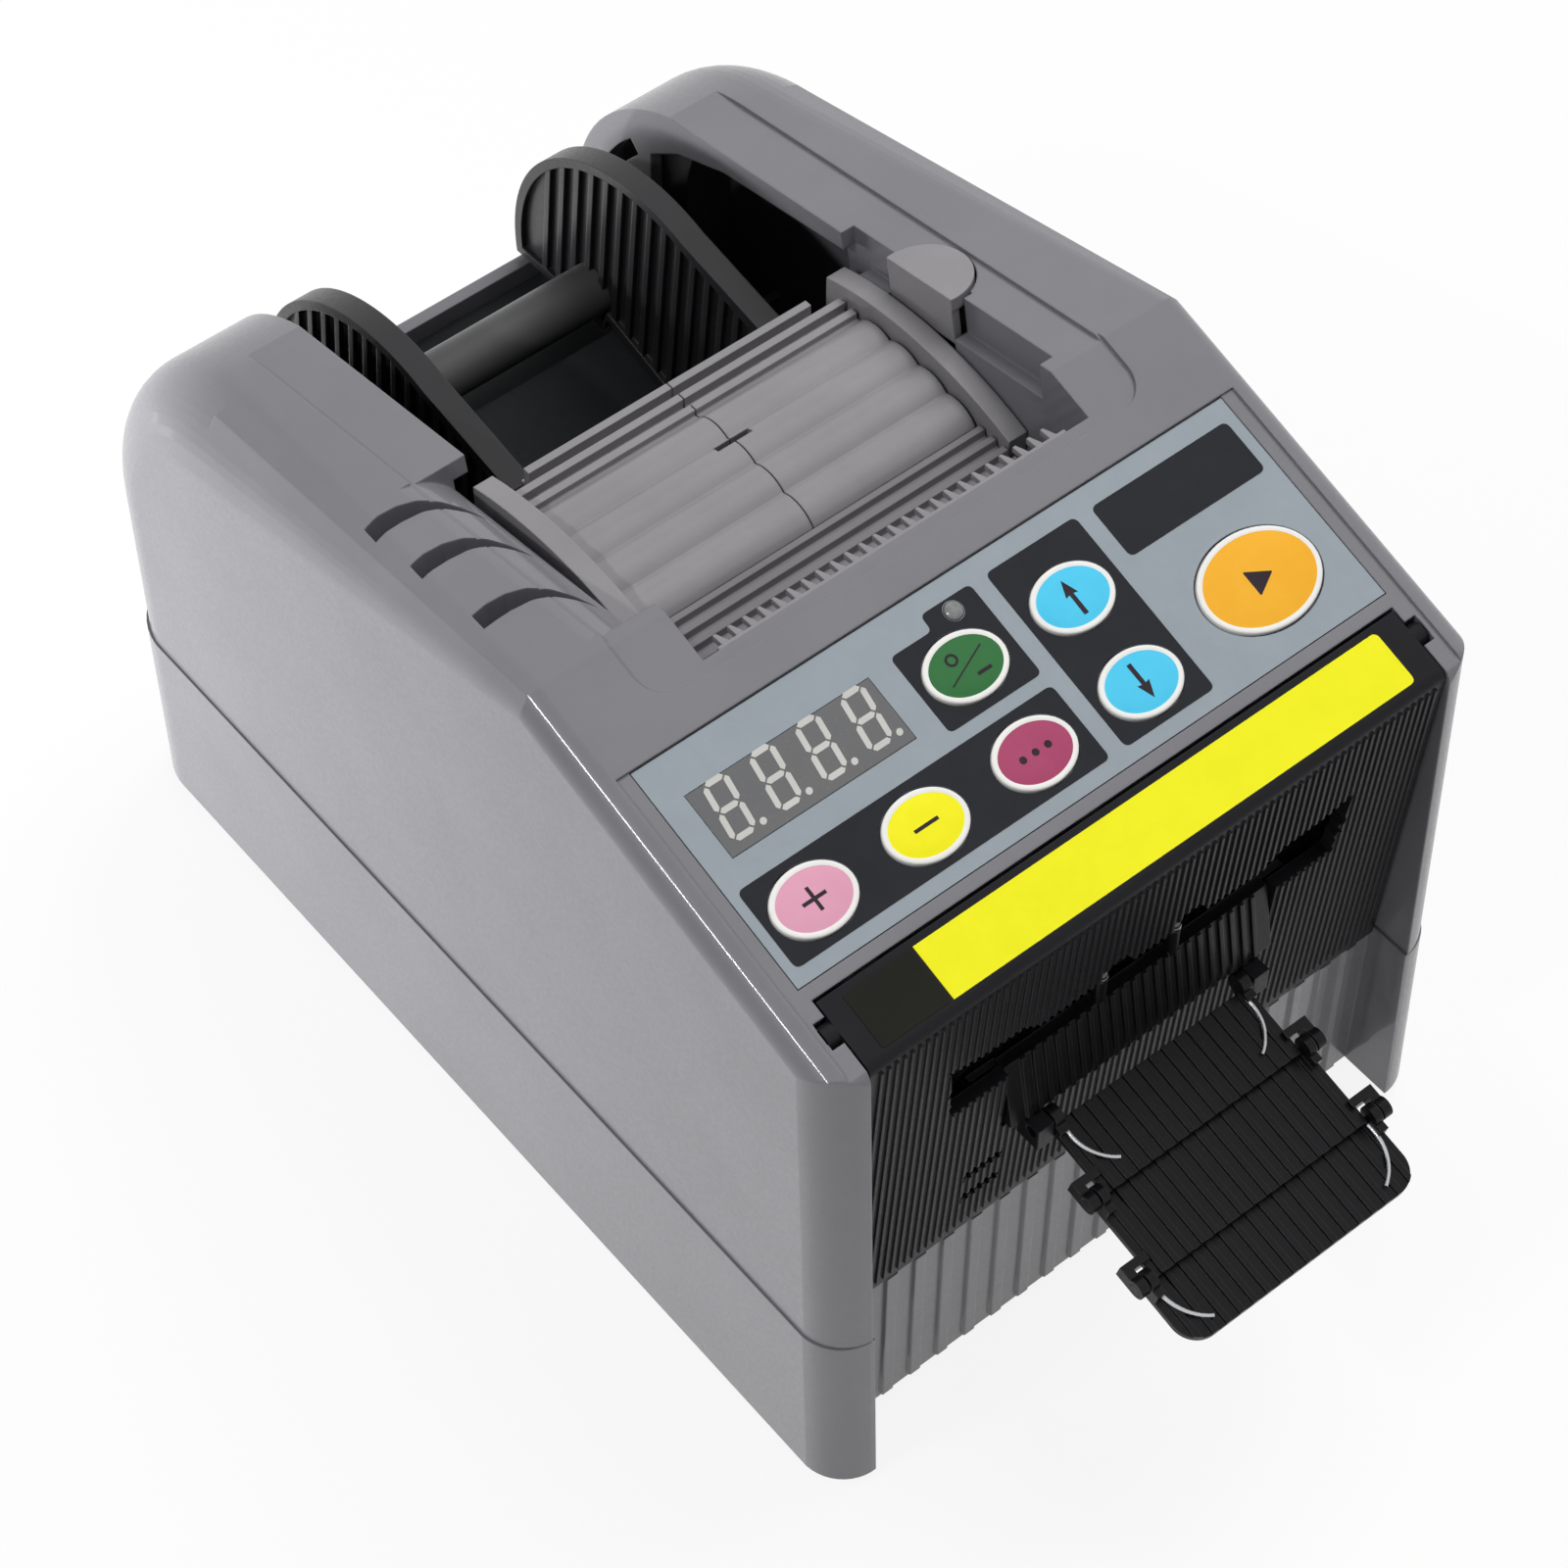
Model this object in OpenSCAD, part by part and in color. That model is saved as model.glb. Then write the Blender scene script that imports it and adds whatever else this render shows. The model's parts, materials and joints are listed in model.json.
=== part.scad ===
/* [Body] */
// width across the lower case
body_w = 140; // [138:1:144]
// depth from the front bend line to the rear face
body_d = 208; // [207:1:212]
// height of the seam between lower and upper case
seam_z = 45; // [43:0.5:46]
// height of the front bend line
bend_z = 121.5; // [120.5:0.5:123]
// distance of the top ridge behind the bend line
ridge_y = 76; // [75:0.5:78]
// tilt of the control panel in degrees
panel_tilt = 17; // [16:0.5:18]
// fall of the top towards the rear in degrees
rear_tilt = 10.4; // [10:0.2:11]
// outward lean of the front columns in degrees
front_lean = 2; // [1.5:0.25:2.5]
// radius of the rounded rear shoulder
rear_r = 45; // [40:1:48]
// radius of the front vertical corners
front_r = 9; // [6:1:11]
// radius of the rear corners and of the shoulder's outer edge
edge_r = 14; // [12:0.5:15]
// width of each front column
column_w = 9; // [8:0.5:10]
// wall thickness of the two case halves
wall = 2.6; // [2.2:0.1:3]
// width of the reel well
well_w = 81; // [80.6:0.2:82]

/* [Feet] */
// height of the feet under the lower case
foot_h = 2.5; // [2:0.25:3]
// radius of a foot
foot_r = 7; // [6:0.5:8]

/* [Panel] */
// half width of the panel overlay
overlay_hw = 62; // [61:0.5:62]
// near edge of the overlay, measured up the panel
overlay_s0 = 17.3; // [17:0.1:17.6]
// far edge of the overlay, measured up the panel
overlay_s1 = 60; // [59.5:0.5:60.5]
// thickness of the overlay
overlay_t = 0.8; // [0.6:0.1:1]
// long half axis of a small key
key_a = 7.8; // [7.4:0.1:8]
// short half axis of a small key
key_b = 6; // [5.8:0.1:6.2]
// long half axis of the start key
start_a = 11.8; // [11.4:0.1:12]
// short half axis of the start key
start_b = 8.9; // [8.6:0.1:9]
// key travel
key_travel = 0.5; // [0.4:0.05:0.55]

/* [Cover] */
// how far the cover face recedes at its lower edge
cover_recess = 5; // [4.5:0.25:5.5]
// thickness of the cover
cover_t = 2.4; // [2:0.1:2.6]
// pitch of the fine ribs on the cover face
rib_pitch = 1.6; // [1.4:0.1:2]
// half width of the outlet slot
outlet_hw = 43.5; // [42:0.5:44]

/* [Tray] */
// downward slope of the tray in degrees
tray_tilt = 13.6; // [12:0.2:15]
// length of the inner tray section
tray_l0 = 15; // [14:0.5:16]
// length of the middle tray section
tray_l1 = 15.5; // [15:0.5:16.5]
// length of the outer tray section
tray_l2 = 13; // [13:0.5:15]
// half width of the inner tray section
tray_w0 = 22; // [21:0.5:22.5]
// half width of the middle tray section
tray_w1 = 24; // [23.5:0.25:24.5]
// half width of the outer tray section
tray_w2 = 26; // [25.5:0.25:26.5]
// thickness of the tray sections
tray_t = 1.2; // [1:0.1:1.3]
// radius of the tray hinge pins
tray_pin_r = 1.1; // [1:0.05:1.2]

/* [Reel] */
// radius of the reel guide discs
guide_r = 40; // [39:0.5:40.5]
// inner face of each guide, from the middle
guide_x = 27; // [25:0.5:27.5]
// radius of the reel roller
roller_r = 5.2; // [4.8:0.1:5.4]

/* [Hood] */
// thickness of the end flanges beside the hood
flange_t = 4; // [3.6:0.1:4.4]
// radius of the hood's arc
hood_r = 67.5; // [67:0.25:68]
// thickness of the hood shells
hood_t = 2.6; // [2.2:0.1:2.8]
// radius of the hood's hinge rod
rod_r = 1.48; // [1.4:0.02:1.5]

/* [Drive] */
// radius of the feed tyres
feed_r = 9; // [8.8:0.1:9]
// radius of the pinch roller
pinch_r = 6; // [5.8:0.1:6]
// teeth of the feed gear
gear_n = 36; // [36:36]
// teeth of the motor pinion
pinion_n = 12; // [12:12]
// radial clearance of running fits
run_gap = 0.07; // [0.03:0.01:0.09]
// clearance between moving covers and the case
gap = 0.4; // [0.35:0.05:0.5]

/* [Hidden] */
$fn = 64;
hw = body_w / 2;
uw = hw - 0.4;
rear_y = body_d - 0.4;
well_hw = well_w / 2;
inner_w = well_hw + 2.5;
tp = tan(panel_tilt);
cp = cos(panel_tilt);
sp = sin(panel_tilt);
tr = tan(rear_tilt);
cr = cos(rear_tilt);
tl = tan(front_lean);
cl = cos(front_lean);
ridge_z = bend_z + tp * ridge_y;
shoulder_y = rear_y - rear_r;
shoulder_z = ridge_z - tr * (shoulder_y - ridge_y) - rear_r / cr;
cover_hw = hw - column_w;
cover_z0 = 43.5;
face_a = atan(cover_recess / (bend_z - cover_z0));
cd = cos(face_a);
sd = sin(face_a);
zone_d = 0.5;
band_s1 = 14.1;
ear_r = 2.2;
pivot_s = 9;
pivot_y = pivot_s * cp + (ear_r + zone_d) * sp;
pivot_z = bend_z + pivot_s * sp - (ear_r + zone_d) * cp;
tray_y = 2;
tray_z = 69.2;
axis_u = [1.5, 1.5 + tray_l0, 1.5 + tray_l0 + tray_l1];
rib_h = 0.5;
tray_step = tray_t + rib_h + 0.3;
axis_w = [1.4, 0.4, 0.4 - tray_step];
top_w = [0, -tray_step, -2 * tray_step];
tray_hw = [tray_w0, tray_w1, tray_w2];
tip_u = axis_u[2] + tray_l2;
tip_y = tray_y - tip_u * cos(tray_tilt) - (top_w[2] + rib_h) * sin(tray_tilt);
mid_y = (body_d + tip_y) / 2;
hood_hw = well_hw - 0.9 - flange_t;
hood_cy = 106;
hood_cz = 127.5 - hood_r;
rod_y = 124;
rod_z = hood_cz + sqrt(pow(hood_r, 2) - pow(rod_y - hood_cy, 2)) - 5.2557;
side_r = 5;
strip_r = 14;
fin_pitch = 3;
lobe_r = 6;
lobe_d = 1.6;
ear_w = 2.2;
shoulder_l = (shoulder_y + rear_r * sin(rear_tilt) - ridge_y) / cr;
apex_l = side_r * shoulder_l / (edge_r - side_r);
// rounded edge as fine facets, seen along the edge from its sharp corner
edge_n = 12;
edge_d = 90 / edge_n;
edge_line = concat([[0, edge_r * tan(edge_d / 4) - edge_r]],
    [for (i = [1:edge_n - 1]) [edge_r / cos(edge_d / 2) * cos(i * edge_d) - edge_r,
        edge_r / cos(edge_d / 2) * sin(i * edge_d) - edge_r]],
    [[edge_r * tan(edge_d / 4) - edge_r, 0]]);
edge_waste = concat(edge_line, [[edge_line[edge_n][0], 9], [9, 9], [9, edge_line[0][1]]]);
roller_y = 185;
roller_z = 85;
disc_y = 168;
disc_z = 82;
feed_y = 48;
feed_z = 84;
motor_y = 36;
motor_z = feed_z - sqrt(pow(24.15, 2) - pow(feed_y - motor_y, 2));
pinch_z = feed_z + 9 + 6 + 0.3;
screw_y = 17;
board_w = -8;
panel_g = 3.3;
key_xy = [[-50.9, 27.5], [-28.4, 27.4], [-5.8, 27.4], [-5.7, 45.3], [16.9, 45.2], [16.8, 27.4], [45.5, 30.7]];
lamp_xy = [-1.1, 54.1];
screw_x = hw - 12;
screw_y1 = body_d - 28;
screw_xy = [[-screw_x, 26], [screw_x, 26], [-screw_x, screw_y1], [screw_x, screw_y1]];
foot_x = hw - 14;
foot_xy = [[-foot_x, foot_r + 7.6], [foot_x, foot_r + 7.6], [-foot_x, body_d - 14], [foot_x, body_d - 14]];

// side view sketch (y, z) pushed out along x
module along_x(x0, x1) {
    translate([x0, 0, 0])
        rotate([90, 0, 90])
            linear_extrude(x1 - x0)
                children();
}

// local y runs up the panel, local z is the panel's normal
module on_panel() {
    translate([0, 0, bend_z])
        rotate([panel_tilt, 0, 0])
            children();
}

// local y runs down the rear top, local z is its normal
module on_rear() {
    translate([0, ridge_y, ridge_z])
        rotate([-rear_tilt, 0, 0])
            children();
}

// local z runs up the cover face, local y points inwards
module on_face() {
    translate([0, 0, bend_z])
        rotate([face_a, 0, 0])
            children();
}

// local -y runs out along the tray, local z is its normal
module on_tray() {
    translate([0, tray_y, tray_z])
        rotate([tray_tilt, 0, 0])
            children();
}

// moves everything so the box of the whole part is centred
module place() {
    translate([0, -mid_y, 0])
        children();
}

module both_sides() {
    children();
    mirror([1, 0, 0])
        children();
}

// outside of a rounded corner between two normals, to be cut away
module corner_waste(c, a0, a1, r) {
    difference() {
        polygon([c,
            [c[0] + 90 * cos(a0), c[1] + 90 * sin(a0)],
            [c[0] + 130 * cos((a0 + a1) / 2), c[1] + 130 * sin((a0 + a1) / 2)],
            [c[0] + 90 * cos(a1), c[1] + 90 * sin(a1)]]);
        translate(c)
            circle(r);
    }
}

// corner of the front line and the panel line, both moved in by g
function bend_at(g) = let (y = g * (1 / cl - tl / cp) / (1 - tp * tl)) [y, bend_z + tp * y - g / cp];
// corner of the panel line and the rear top line, both moved in by g
function ridge_at(g) = let (y = ridge_y + g * (1 / cp - 1 / cr) / (tp + tr)) [y, bend_z + tp * y - g / cp];
function top_at(y, g) = ridge_z - tr * (y - ridge_y) - g / cr;
function front_at(z) = -(bend_z - z) * tl;
// corner of the cover's band and face lines, both moved in by g
function cover_bend(g) = let (k = g / cos(panel_tilt - face_a)) [k * (cp + sd), bend_z - k * (cd - sp)];

module case_sketch(g, z0) {
    difference() {
        polygon([[front_at(z0) + g / cl, z0], bend_at(g), ridge_at(g),
            [rear_y - g, top_at(rear_y - g, g)], [rear_y - g, z0]]);
        corner_waste([shoulder_y, shoulder_z], 0, 90 - rear_tilt, rear_r - g);
        corner_waste(bend_at(4 + g), 90 + panel_tilt, 180 - front_lean, 4);
    }
}

// plan of the case with rounded front corners, leaning with the columns
module front_prism(w) {
    translate([0, 0, bend_z])
        rotate([-front_lean, 0, 0])
            translate([0, 0, -160])
                linear_extrude(240)
                    difference() {
                        translate([-w - 2, 0])
                            square([2 * w + 4, 300]);
                        both_sides()
                            translate([w - front_r + 0.05, front_r - 0.05])
                                difference() {
                                    translate([0, -front_r - 5])
                                        square(front_r + 5);
                                    circle(front_r);
                                }
                    }
}

module rear_prism(w, d, r) {
    translate([0, 0, -1])
        linear_extrude(220)
            difference() {
                translate([-w, -50])
                    square([2 * w, d + 50]);
                both_sides()
                    translate([w - r + 0.05, d - r + 0.05])
                        difference() {
                            square(r + 5);
                            circle(r);
                        }
            }
}

// oval with half axes a and b
module oval(a, b) {
    polygon([for (i = [0:59]) [a * cos(6 * i + 3), b * sin(6 * i + 3)]]);
}

// plate section with ribs on its upper side, from -w to w, upper face at 0
function rib_points(w, t, n, h) = let (p = 2 * (w - 0.6) / n)
    concat([[w, 0], [w, -t], [-w, -t], [-w, 0]],
        [for (i = [0:n - 1], k = [0:3])
            [-w + 0.6 + p * (i + [0.25, 0.32, 0.68, 0.75][k]), (k == 0 || k == 3) ? 0 : h]]);

module gear_sketch(n, bore, half) {
    r = n / 2;
    difference() {
        union() {
            circle(r - 1.2);
            for (i = [0:n - 1])
                rotate(i * 360 / n + half)
                    polygon([[r - 1.5, -0.8], [r, -0.52], [r + 0.8, -0.25],
                        [r + 0.8, 0.25], [r, 0.52], [r - 1.5, 0.8]]);
        }
        if (bore > 0)
            circle(bore);
    }
}

module base_case() {
    color([0.66, 0.67, 0.7])
        difference() {
            union() {
                difference() {
                    intersection() {
                        along_x(-hw - 2, hw + 2)
                            polygon([[-20, foot_h], [-20, seam_z],
                                [body_d + 5, seam_z], [body_d + 5, foot_h]]);
                        front_prism(hw);
                        translate([-hw, -50, 0])
                            cube([body_w, body_d + 50, 60]);
                    }
                    both_sides()
                        rear_waste(hw, body_d, seam_z + 5);
                    // inside of the tub
                    difference() {
                        intersection() {
                            translate([-hw, 9, foot_h + 2.5])
                                cube([body_w, body_d, 60]);
                            rear_prism(hw - wall, body_d - wall, edge_r - wall);
                        }
                        both_sides()
                            translate([cover_hw, 0, 0])
                                cube([20, 16, 60]);
                    }
                    // recess between the columns
                    translate([-cover_hw, -20, -1])
                        cube([2 * cover_hw, 26.4, 70]);
                    // clear the front wall for the cover's lower edge
                    translate([-cover_hw, -20, cover_z0 - 0.6])
                        cube([2 * cover_hw, 30, 10]);
                }
                // flutes on the front wall
                translate([0, 6.6, foot_h + 1])
                    linear_extrude(cover_z0 - foot_h - 2)
                        polygon(rib_points(cover_hw - 1, -0.6, 19, -0.9));
                for (p = screw_xy)
                    translate([p[0], p[1], foot_h + 1])
                        cylinder(r = 4, h = seam_z - foot_h - 1.2);
                // posts for the power board
                for (x = [-24, 44], y = [118, 176])
                    translate([x, y, foot_h + 2])
                        cylinder(r = 3, h = 4.5);
            }
            for (p = screw_xy)
                translate([p[0], p[1], 0]) {
                    cylinder(r = 1.75, h = 80);
                    cylinder(r = 3.4, h = foot_h + 3);
                }
            for (p = foot_xy)
                translate([p[0], p[1], 0])
                    cylinder(r = foot_r + 0.2, h = foot_h + 1.2);
            // openings for the power inlet and the switch
            translate([-46.2, body_d - 6, 15.8])
                cube([14.4, 10, 12.4]);
            translate([29.8, body_d - 6, 13.8])
                cube([14.4, 10, 20.4]);
            // intake slots in the floor
            for (i = [0:6])
                translate([-30 + i * 10, 70, 0])
                    cube([3, 26, 20]);
        }
}

module case_outer() {
    difference() {
        difference() {
            difference() {
                intersection() {
                    along_x(-uw, uw)
                        case_sketch(0, seam_z);
                    front_prism(uw);
                }
                both_sides()
                    rear_waste(uw, rear_y, shoulder_z);
            }
            both_sides()
                shoulder_waste();
        }
        both_sides()
            flank_waste();
        // rounded outer edge of the panel
        both_sides()
            on_panel()
                difference() {
                    translate([uw - side_r + 0.03, -8, -side_r + 0.03])
                        cube([10, ridge_y / cp + 20, 10]);
                    translate([uw - side_r + 0.03, -9, -side_r + 0.03])
                        rotate([-90, 0, 0])
                            cylinder(r = side_r, h = ridge_y / cp + 22);
                }
    }
}

// waste outside a rear corner, up to height h
module rear_waste(w, d, h) {
    translate([w, d, -1])
        linear_extrude(h + 1)
            polygon(edge_waste);
}

// waste over the flank's top edge, whose rounding grows from the ridge to the shoulder
module flank_waste() {
    k = edge_r / (apex_l + shoulder_l);
    on_rear()
        for (i = [0:edge_n - 1])
            let (a = (i + 0.5) * edge_d)
                intersection() {
                    translate([uw, -apex_l, 0])
                        rotate([0, 90 - a, 0])
                            rotate([atan(k * (1 - cos(a) - sin(a))), 0, 0])
                                translate([-60, -5, 0])
                                    cube([120, apex_l + shoulder_l + 40, 30]);
                    translate([0, -apex_l - 20, -60])
                        cube([120, apex_l + shoulder_l + 20, 90]);
                }
}

// waste round the outer edge of the rear shoulder
module shoulder_waste() {
    intersection() {
        translate([0, shoulder_y, shoulder_z])
            rotate([0, 90, 0])
                rotate_extrude($fn = 128)
                    polygon([for (p = edge_waste) [rear_r + p[1], uw + p[0]]]);
        along_x(0, hw + 20)
            translate([shoulder_y, shoulder_z])
                polygon([[0, 0], [90, 0], [90, 90], [90 * sin(rear_tilt), 90 * cos(rear_tilt)]]);
    }
}

module vent_slot(y) {
    polygon([[-63.6, y], [-63.2, y + 4], [-60, y + 4.6], [-56.5, y + 4.4],
        [-53, y + 3], [-50, y + 0.8], [-47.6, y - 2],
        [-45.6, y - 5.4], [-48, y - 3.4], [-51, y - 1.2], [-54.5, y], [-58, y + 0.4], [-61, y + 0.3]]);
}

module upper_case() {
    color([0.7, 0.71, 0.74])
        difference() {
            union() {
                difference() {
                    case_outer();
                    // inside of the front
                    intersection() {
                        along_x(-hw, hw)
                            case_sketch(panel_g, seam_z - 5);
                        translate([-uw + wall, 16, seam_z - 5])
                            cube([2 * (uw - wall), 48, 200]);
                    }
                    // inside of the wings, lower under the rounded edge
                    both_sides()
                        difference() {
                            intersection() {
                                union() {
                                    along_x(1, uw - edge_r + 1)
                                        case_sketch(panel_g + 2.4, seam_z - 5);
                                    along_x(0, hw)
                                        case_sketch(edge_r - 0.7, seam_z - 5);
                                }
                                translate([inner_w, 60, seam_z - 5])
                                    cube([uw - wall - inner_w, rear_y - 60 - wall, 200]);
                            }
                            // thicker roof beside the hood
                            on_rear()
                                translate([0, -30, -strip_r - wall - 2])
                                    cube([uw - edge_r + 2, 88, 60]);
                        }
                    // opening for the cover
                    on_panel()
                        translate([-cover_hw - gap, -60, -140])
                            cube([2 * cover_hw + 2 * gap, 60 + band_s1 + 0.6, 160]);
                    // reel well
                    translate([-well_hw, 66.5, seam_z - 5])
                        cube([well_w, rear_y - wall - 66.5, 200]);
                    translate([-well_hw, rear_y - 10, 76])
                        cube([well_w, 40, 200]);
                    translate([-well_hw + 2.5, 60, seam_z - 5])
                        cube([well_w - 5, 10, 122 - seam_z + 5]);
                    // shallow field around the well
                    on_panel()
                        translate([0, 0, -0.7])
                            linear_extrude(20) {
                                both_sides()
                                    translate([52 - 6, 67 + 6])
                                        circle(6);
                                translate([-46, 67])
                                    square([92, 30]);
                                translate([-52, 73])
                                    square([104, 30]);
                            }
                    on_rear()
                        translate([-51.5, -1, -0.7])
                            cube([103, 160, 20]);
                }
                // posts for the control board
                on_panel()
                    for (x = [-58, 34, 58], s = [20.5, 57])
                        if (x != 34 || s > 30)
                            translate([x, s, board_w])
                                cylinder(r = 2, h = -board_w - panel_g + 0.6);
                // screw bosses
                for (p = screw_xy)
                    translate([p[0], p[1], seam_z])
                        cylinder(r = 4, h = 16);
                both_sides()
                    for (y = [26, screw_y1])
                        translate([screw_x, y - 1, seam_z])
                            cube([uw - screw_x - 1, 2, 16]);
                // guide shelf for the release tab
                on_rear()
                    translate([inner_w - 1, 29.6, -21])
                        cube([10, 10, 4]);
            }
            // shallow field of the panel and cheeks
            on_panel()
                translate([-64.8, -20, -zone_d])
                    cube([129.6, 20 + overlay_s1 + 0.3, 20]);
            on_panel()
                translate([-overlay_hw - 0.2, overlay_s0 - 0.2, -zone_d - overlay_t])
                    cube([2 * overlay_hw + 0.4, overlay_s1 - overlay_s0 + 0.4, 10]);
            // key pockets and stem holes
            on_panel()
                for (i = [0:6])
                    translate([key_xy[i][0], key_xy[i][1], 0]) {
                        translate([0, 0, -zone_d - overlay_t - key_travel - 0.1])
                            linear_extrude(10)
                                oval((i == 6 ? start_a : key_a) + 0.4, (i == 6 ? start_b : key_b) + 0.4);
                        translate([0, 0, -10])
                            cylinder(r = 2.5, h = 20);
                    }
            on_panel() {
                translate([-56, 41, -10])
                    cube([34.6, 10.4, 20]);
                translate([lamp_xy[0], lamp_xy[1], -10])
                    cylinder(r = 1.8, h = 20);
            }
            // louvres on the left shoulder
            on_rear()
                for (y = [17.2, 34.4, 47.6])
                    translate([0, 0, -9])
                        linear_extrude(20)
                            vent_slot(y);
            // strip that falls away towards the hood
            on_rear()
                translate([-inner_w - strip_r + 1.6, 55, -strip_r + 0.1])
                    rotate([90, 0, 0])
                        linear_extrude(52)
                            difference() {
                                square([strip_r + inner_w - well_hw + 1, strip_r + 9]);
                                circle(strip_r);
                            }
            // well of the release tab
            on_rear() {
                translate([well_hw + 1.6, 34.6, -14])
                    cylinder(r = 9, h = 40);
                translate([well_hw - 2, 34.6 - 9, -16])
                    cube([inner_w - well_hw + 4.2, 18, 40]);
                translate([46.5, 34.6, -40])
                    cylinder(r = 2 + run_gap, h = 40);
                translate([well_hw - 1, 3, -8])
                    cube([3.8, 52, 30]);
            }
            both_sides() {
                // window and curved slot in the wall of the well
                along_x(well_hw - 1, inner_w + 0.5) {
                    polygon([[125, 84], [125, top_at(125, 4.3)],
                        [shoulder_y, top_at(shoulder_y, 5.2)], [176, 118], [184, 112],
                        [184, 94], [176, 84]]);
                    intersection() {
                        translate([shoulder_y, shoulder_z])
                            difference() {
                                circle(rear_r - 5.6);
                                circle(rear_r - 9);
                            }
                        translate([shoulder_y, shoulder_z])
                            polygon([[0, 0], [80 * cos(16), 80 * sin(16)], [80 * cos(46), 80 * sin(46)]]);
                    }
                }
                // cover pivots
                translate([cover_hw, pivot_y, pivot_z])
                    rotate([0, 90, 0]) {
                        cylinder(r = 1.2 + run_gap, h = 6);
                        cylinder(r = ear_r + 0.4, h = 2.8);
                    }
                on_panel()
                    translate([cover_hw, pivot_s - ear_r - 0.32, -ear_r - zone_d])
                        cube([2.7, 2 * ear_r + 0.64, 20]);
                // roller bearings
                translate([well_hw - 1, roller_y, roller_z])
                    rotate([0, 90, 0])
                        cylinder(r = 2.5 + run_gap, h = 5);
            }
            for (p = screw_xy)
                translate([p[0], p[1], seam_z - 1])
                    cylinder(r = 1.5, h = 15);
        }
}

module panel_overlay() {
    color([0.72, 0.76, 0.82])
        on_panel()
            translate([0, 0, -zone_d - overlay_t])
                linear_extrude(overlay_t)
                    difference() {
                        translate([-overlay_hw, overlay_s0])
                            square([2 * overlay_hw, overlay_s1 - overlay_s0]);
                        for (i = [0:6])
                            translate(key_xy[i])
                                oval((i == 6 ? start_a : key_a) + 0.4, (i == 6 ? start_b : key_b) + 0.4);
                        translate([-57.3, 39.9])
                            square([37.2, 12.6]);
                        translate(lamp_xy)
                            circle(1.8);
                    }
}

module display_lens() {
    color([0.35, 0.35, 0.37])
        on_panel()
            translate([-57.2, 40, -zone_d - overlay_t])
                cube([37, 12.4, overlay_t]);
}

module display_module() {
    color([0.12, 0.12, 0.13])
        on_panel() {
            translate([-55.4, 41.6, board_w])
                cube([33.4, 9.2, 4.2]);
            for (i = [0:3])
                translate([-53.6 + i * 8, 42.6, board_w + 4.2])
                    cube([6.6, 7.2, 0.8]);
        }
}

module status_lamp() {
    color([0.85, 0.88, 0.85])
        on_panel()
            translate([lamp_xy[0], lamp_xy[1], board_w]) {
                cylinder(r = 2.4, h = 1);
                cylinder(r = 1.5, h = -board_w - zone_d - 0.2);
            }
}

module control_board() {
    color([0.1, 0.35, 0.2])
        on_panel()
            difference() {
                translate([-61, 18.6, board_w - 1.6])
                    cube([122, 40.4, 1.6]);
                for (x = [-50, 50])
                    translate([x, 36, board_w - 3])
                        cylinder(r = 1.6, h = 6);
            }
}

module key_switches() {
    color([0.2, 0.2, 0.22])
        on_panel()
            for (p = key_xy)
                translate([p[0], p[1], board_w]) {
                    translate([-3, -3, 0])
                        cube([6, 6, 1.8]);
                    cylinder(r = 1.6, h = -board_w - 5.35);
                }
}

module well_liner() {
    color([0.62, 0.63, 0.66])
        along_x(-well_hw + 0.3, well_hw - 0.3)
            polygon([[131, 65.6], [178.4, 79.4], [178.4, 72],
                [rear_y - wall - 0.2, 72], [rear_y - wall - 0.2, 69.8],
                [176.2, 69.8], [176.2, 76.4], [133.2, 63.9], [133.2, 50], [131, 50]]);
}

module ramp() {
    color([0.63, 0.64, 0.67])
        along_x(-hood_hw - 0.3, hood_hw + 0.3)
            polygon(concat([[66.6, 123.4], [66.6, 122.4], [87.4, 122.4]],
                [for (i = [0:4], k = [0:3]) [87.4 - 3 * i - [0, 1.2, 1.5, 2.7][k], k < 2 ? 124.5 : 123.1]]));
}

module comb_guard() {
    fins = floor((well_w - 11) / fin_pitch);
    color([0.74, 0.75, 0.77])
        translate([0, 66.6, ridge_z - 6.6])
            union() {
                translate([-well_hw + 4, 0, -2])
                    cube([well_w - 8, 1.4, 3.6]);
                linear_extrude(1.2)
                    for (i = [0:fins])
                        translate([(i - fins / 2) * fin_pitch, 0])
                            polygon([[-0.8, 1], [0.8, 1], [-0.3, 4], [-0.9, 4]]);
            }
}

module flange_sketch() {
    difference() {
        intersection() {
            translate([hood_cy, hood_cz])
                difference() {
                    circle(hood_r + 3.2, $fn = 128);
                    circle(hood_r - 8, $fn = 128);
                }
            polygon([[80.4, 108], [92, 118], [120, 108], [128.6, 113], [128.6, 150], [80.4, 150]]);
        }
        translate([rod_y, rod_z])
            circle(1.52);
    }
}

module flange_left() {
    color([0.64, 0.65, 0.68])
        along_x(-well_hw + 0.3, -hood_hw - 0.6)
            flange_sketch();
}

module flange_right() {
    color([0.64, 0.65, 0.68])
        along_x(hood_hw + 0.6, well_hw - 0.3)
            flange_sketch();
}

module hood_rod() {
    color([0.75, 0.76, 0.78])
        translate([-well_hw + 0.4, rod_y, rod_z])
            rotate([0, 90, 0])
                cylinder(r = rod_r, h = well_w - 0.8);
}

module plate_sketch() {
    difference() {
        polygon([[10, foot_h + 2.5], [62, foot_h + 2.5], [62, 104], [54, 112], [20, 112], [10, 100]]);
        translate([feed_y, feed_z])
            circle(2.5 + run_gap);
        translate([feed_y, pinch_z])
            circle(2 + run_gap);
        translate([motor_y, motor_z])
            circle(4);
        translate([22, 20])
            circle(4);
        translate([50, 20])
            circle(4);
    }
}

module side_plate_left() {
    color([0.72, 0.73, 0.75])
        along_x(-47.5, -46)
            plate_sketch();
}

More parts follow.
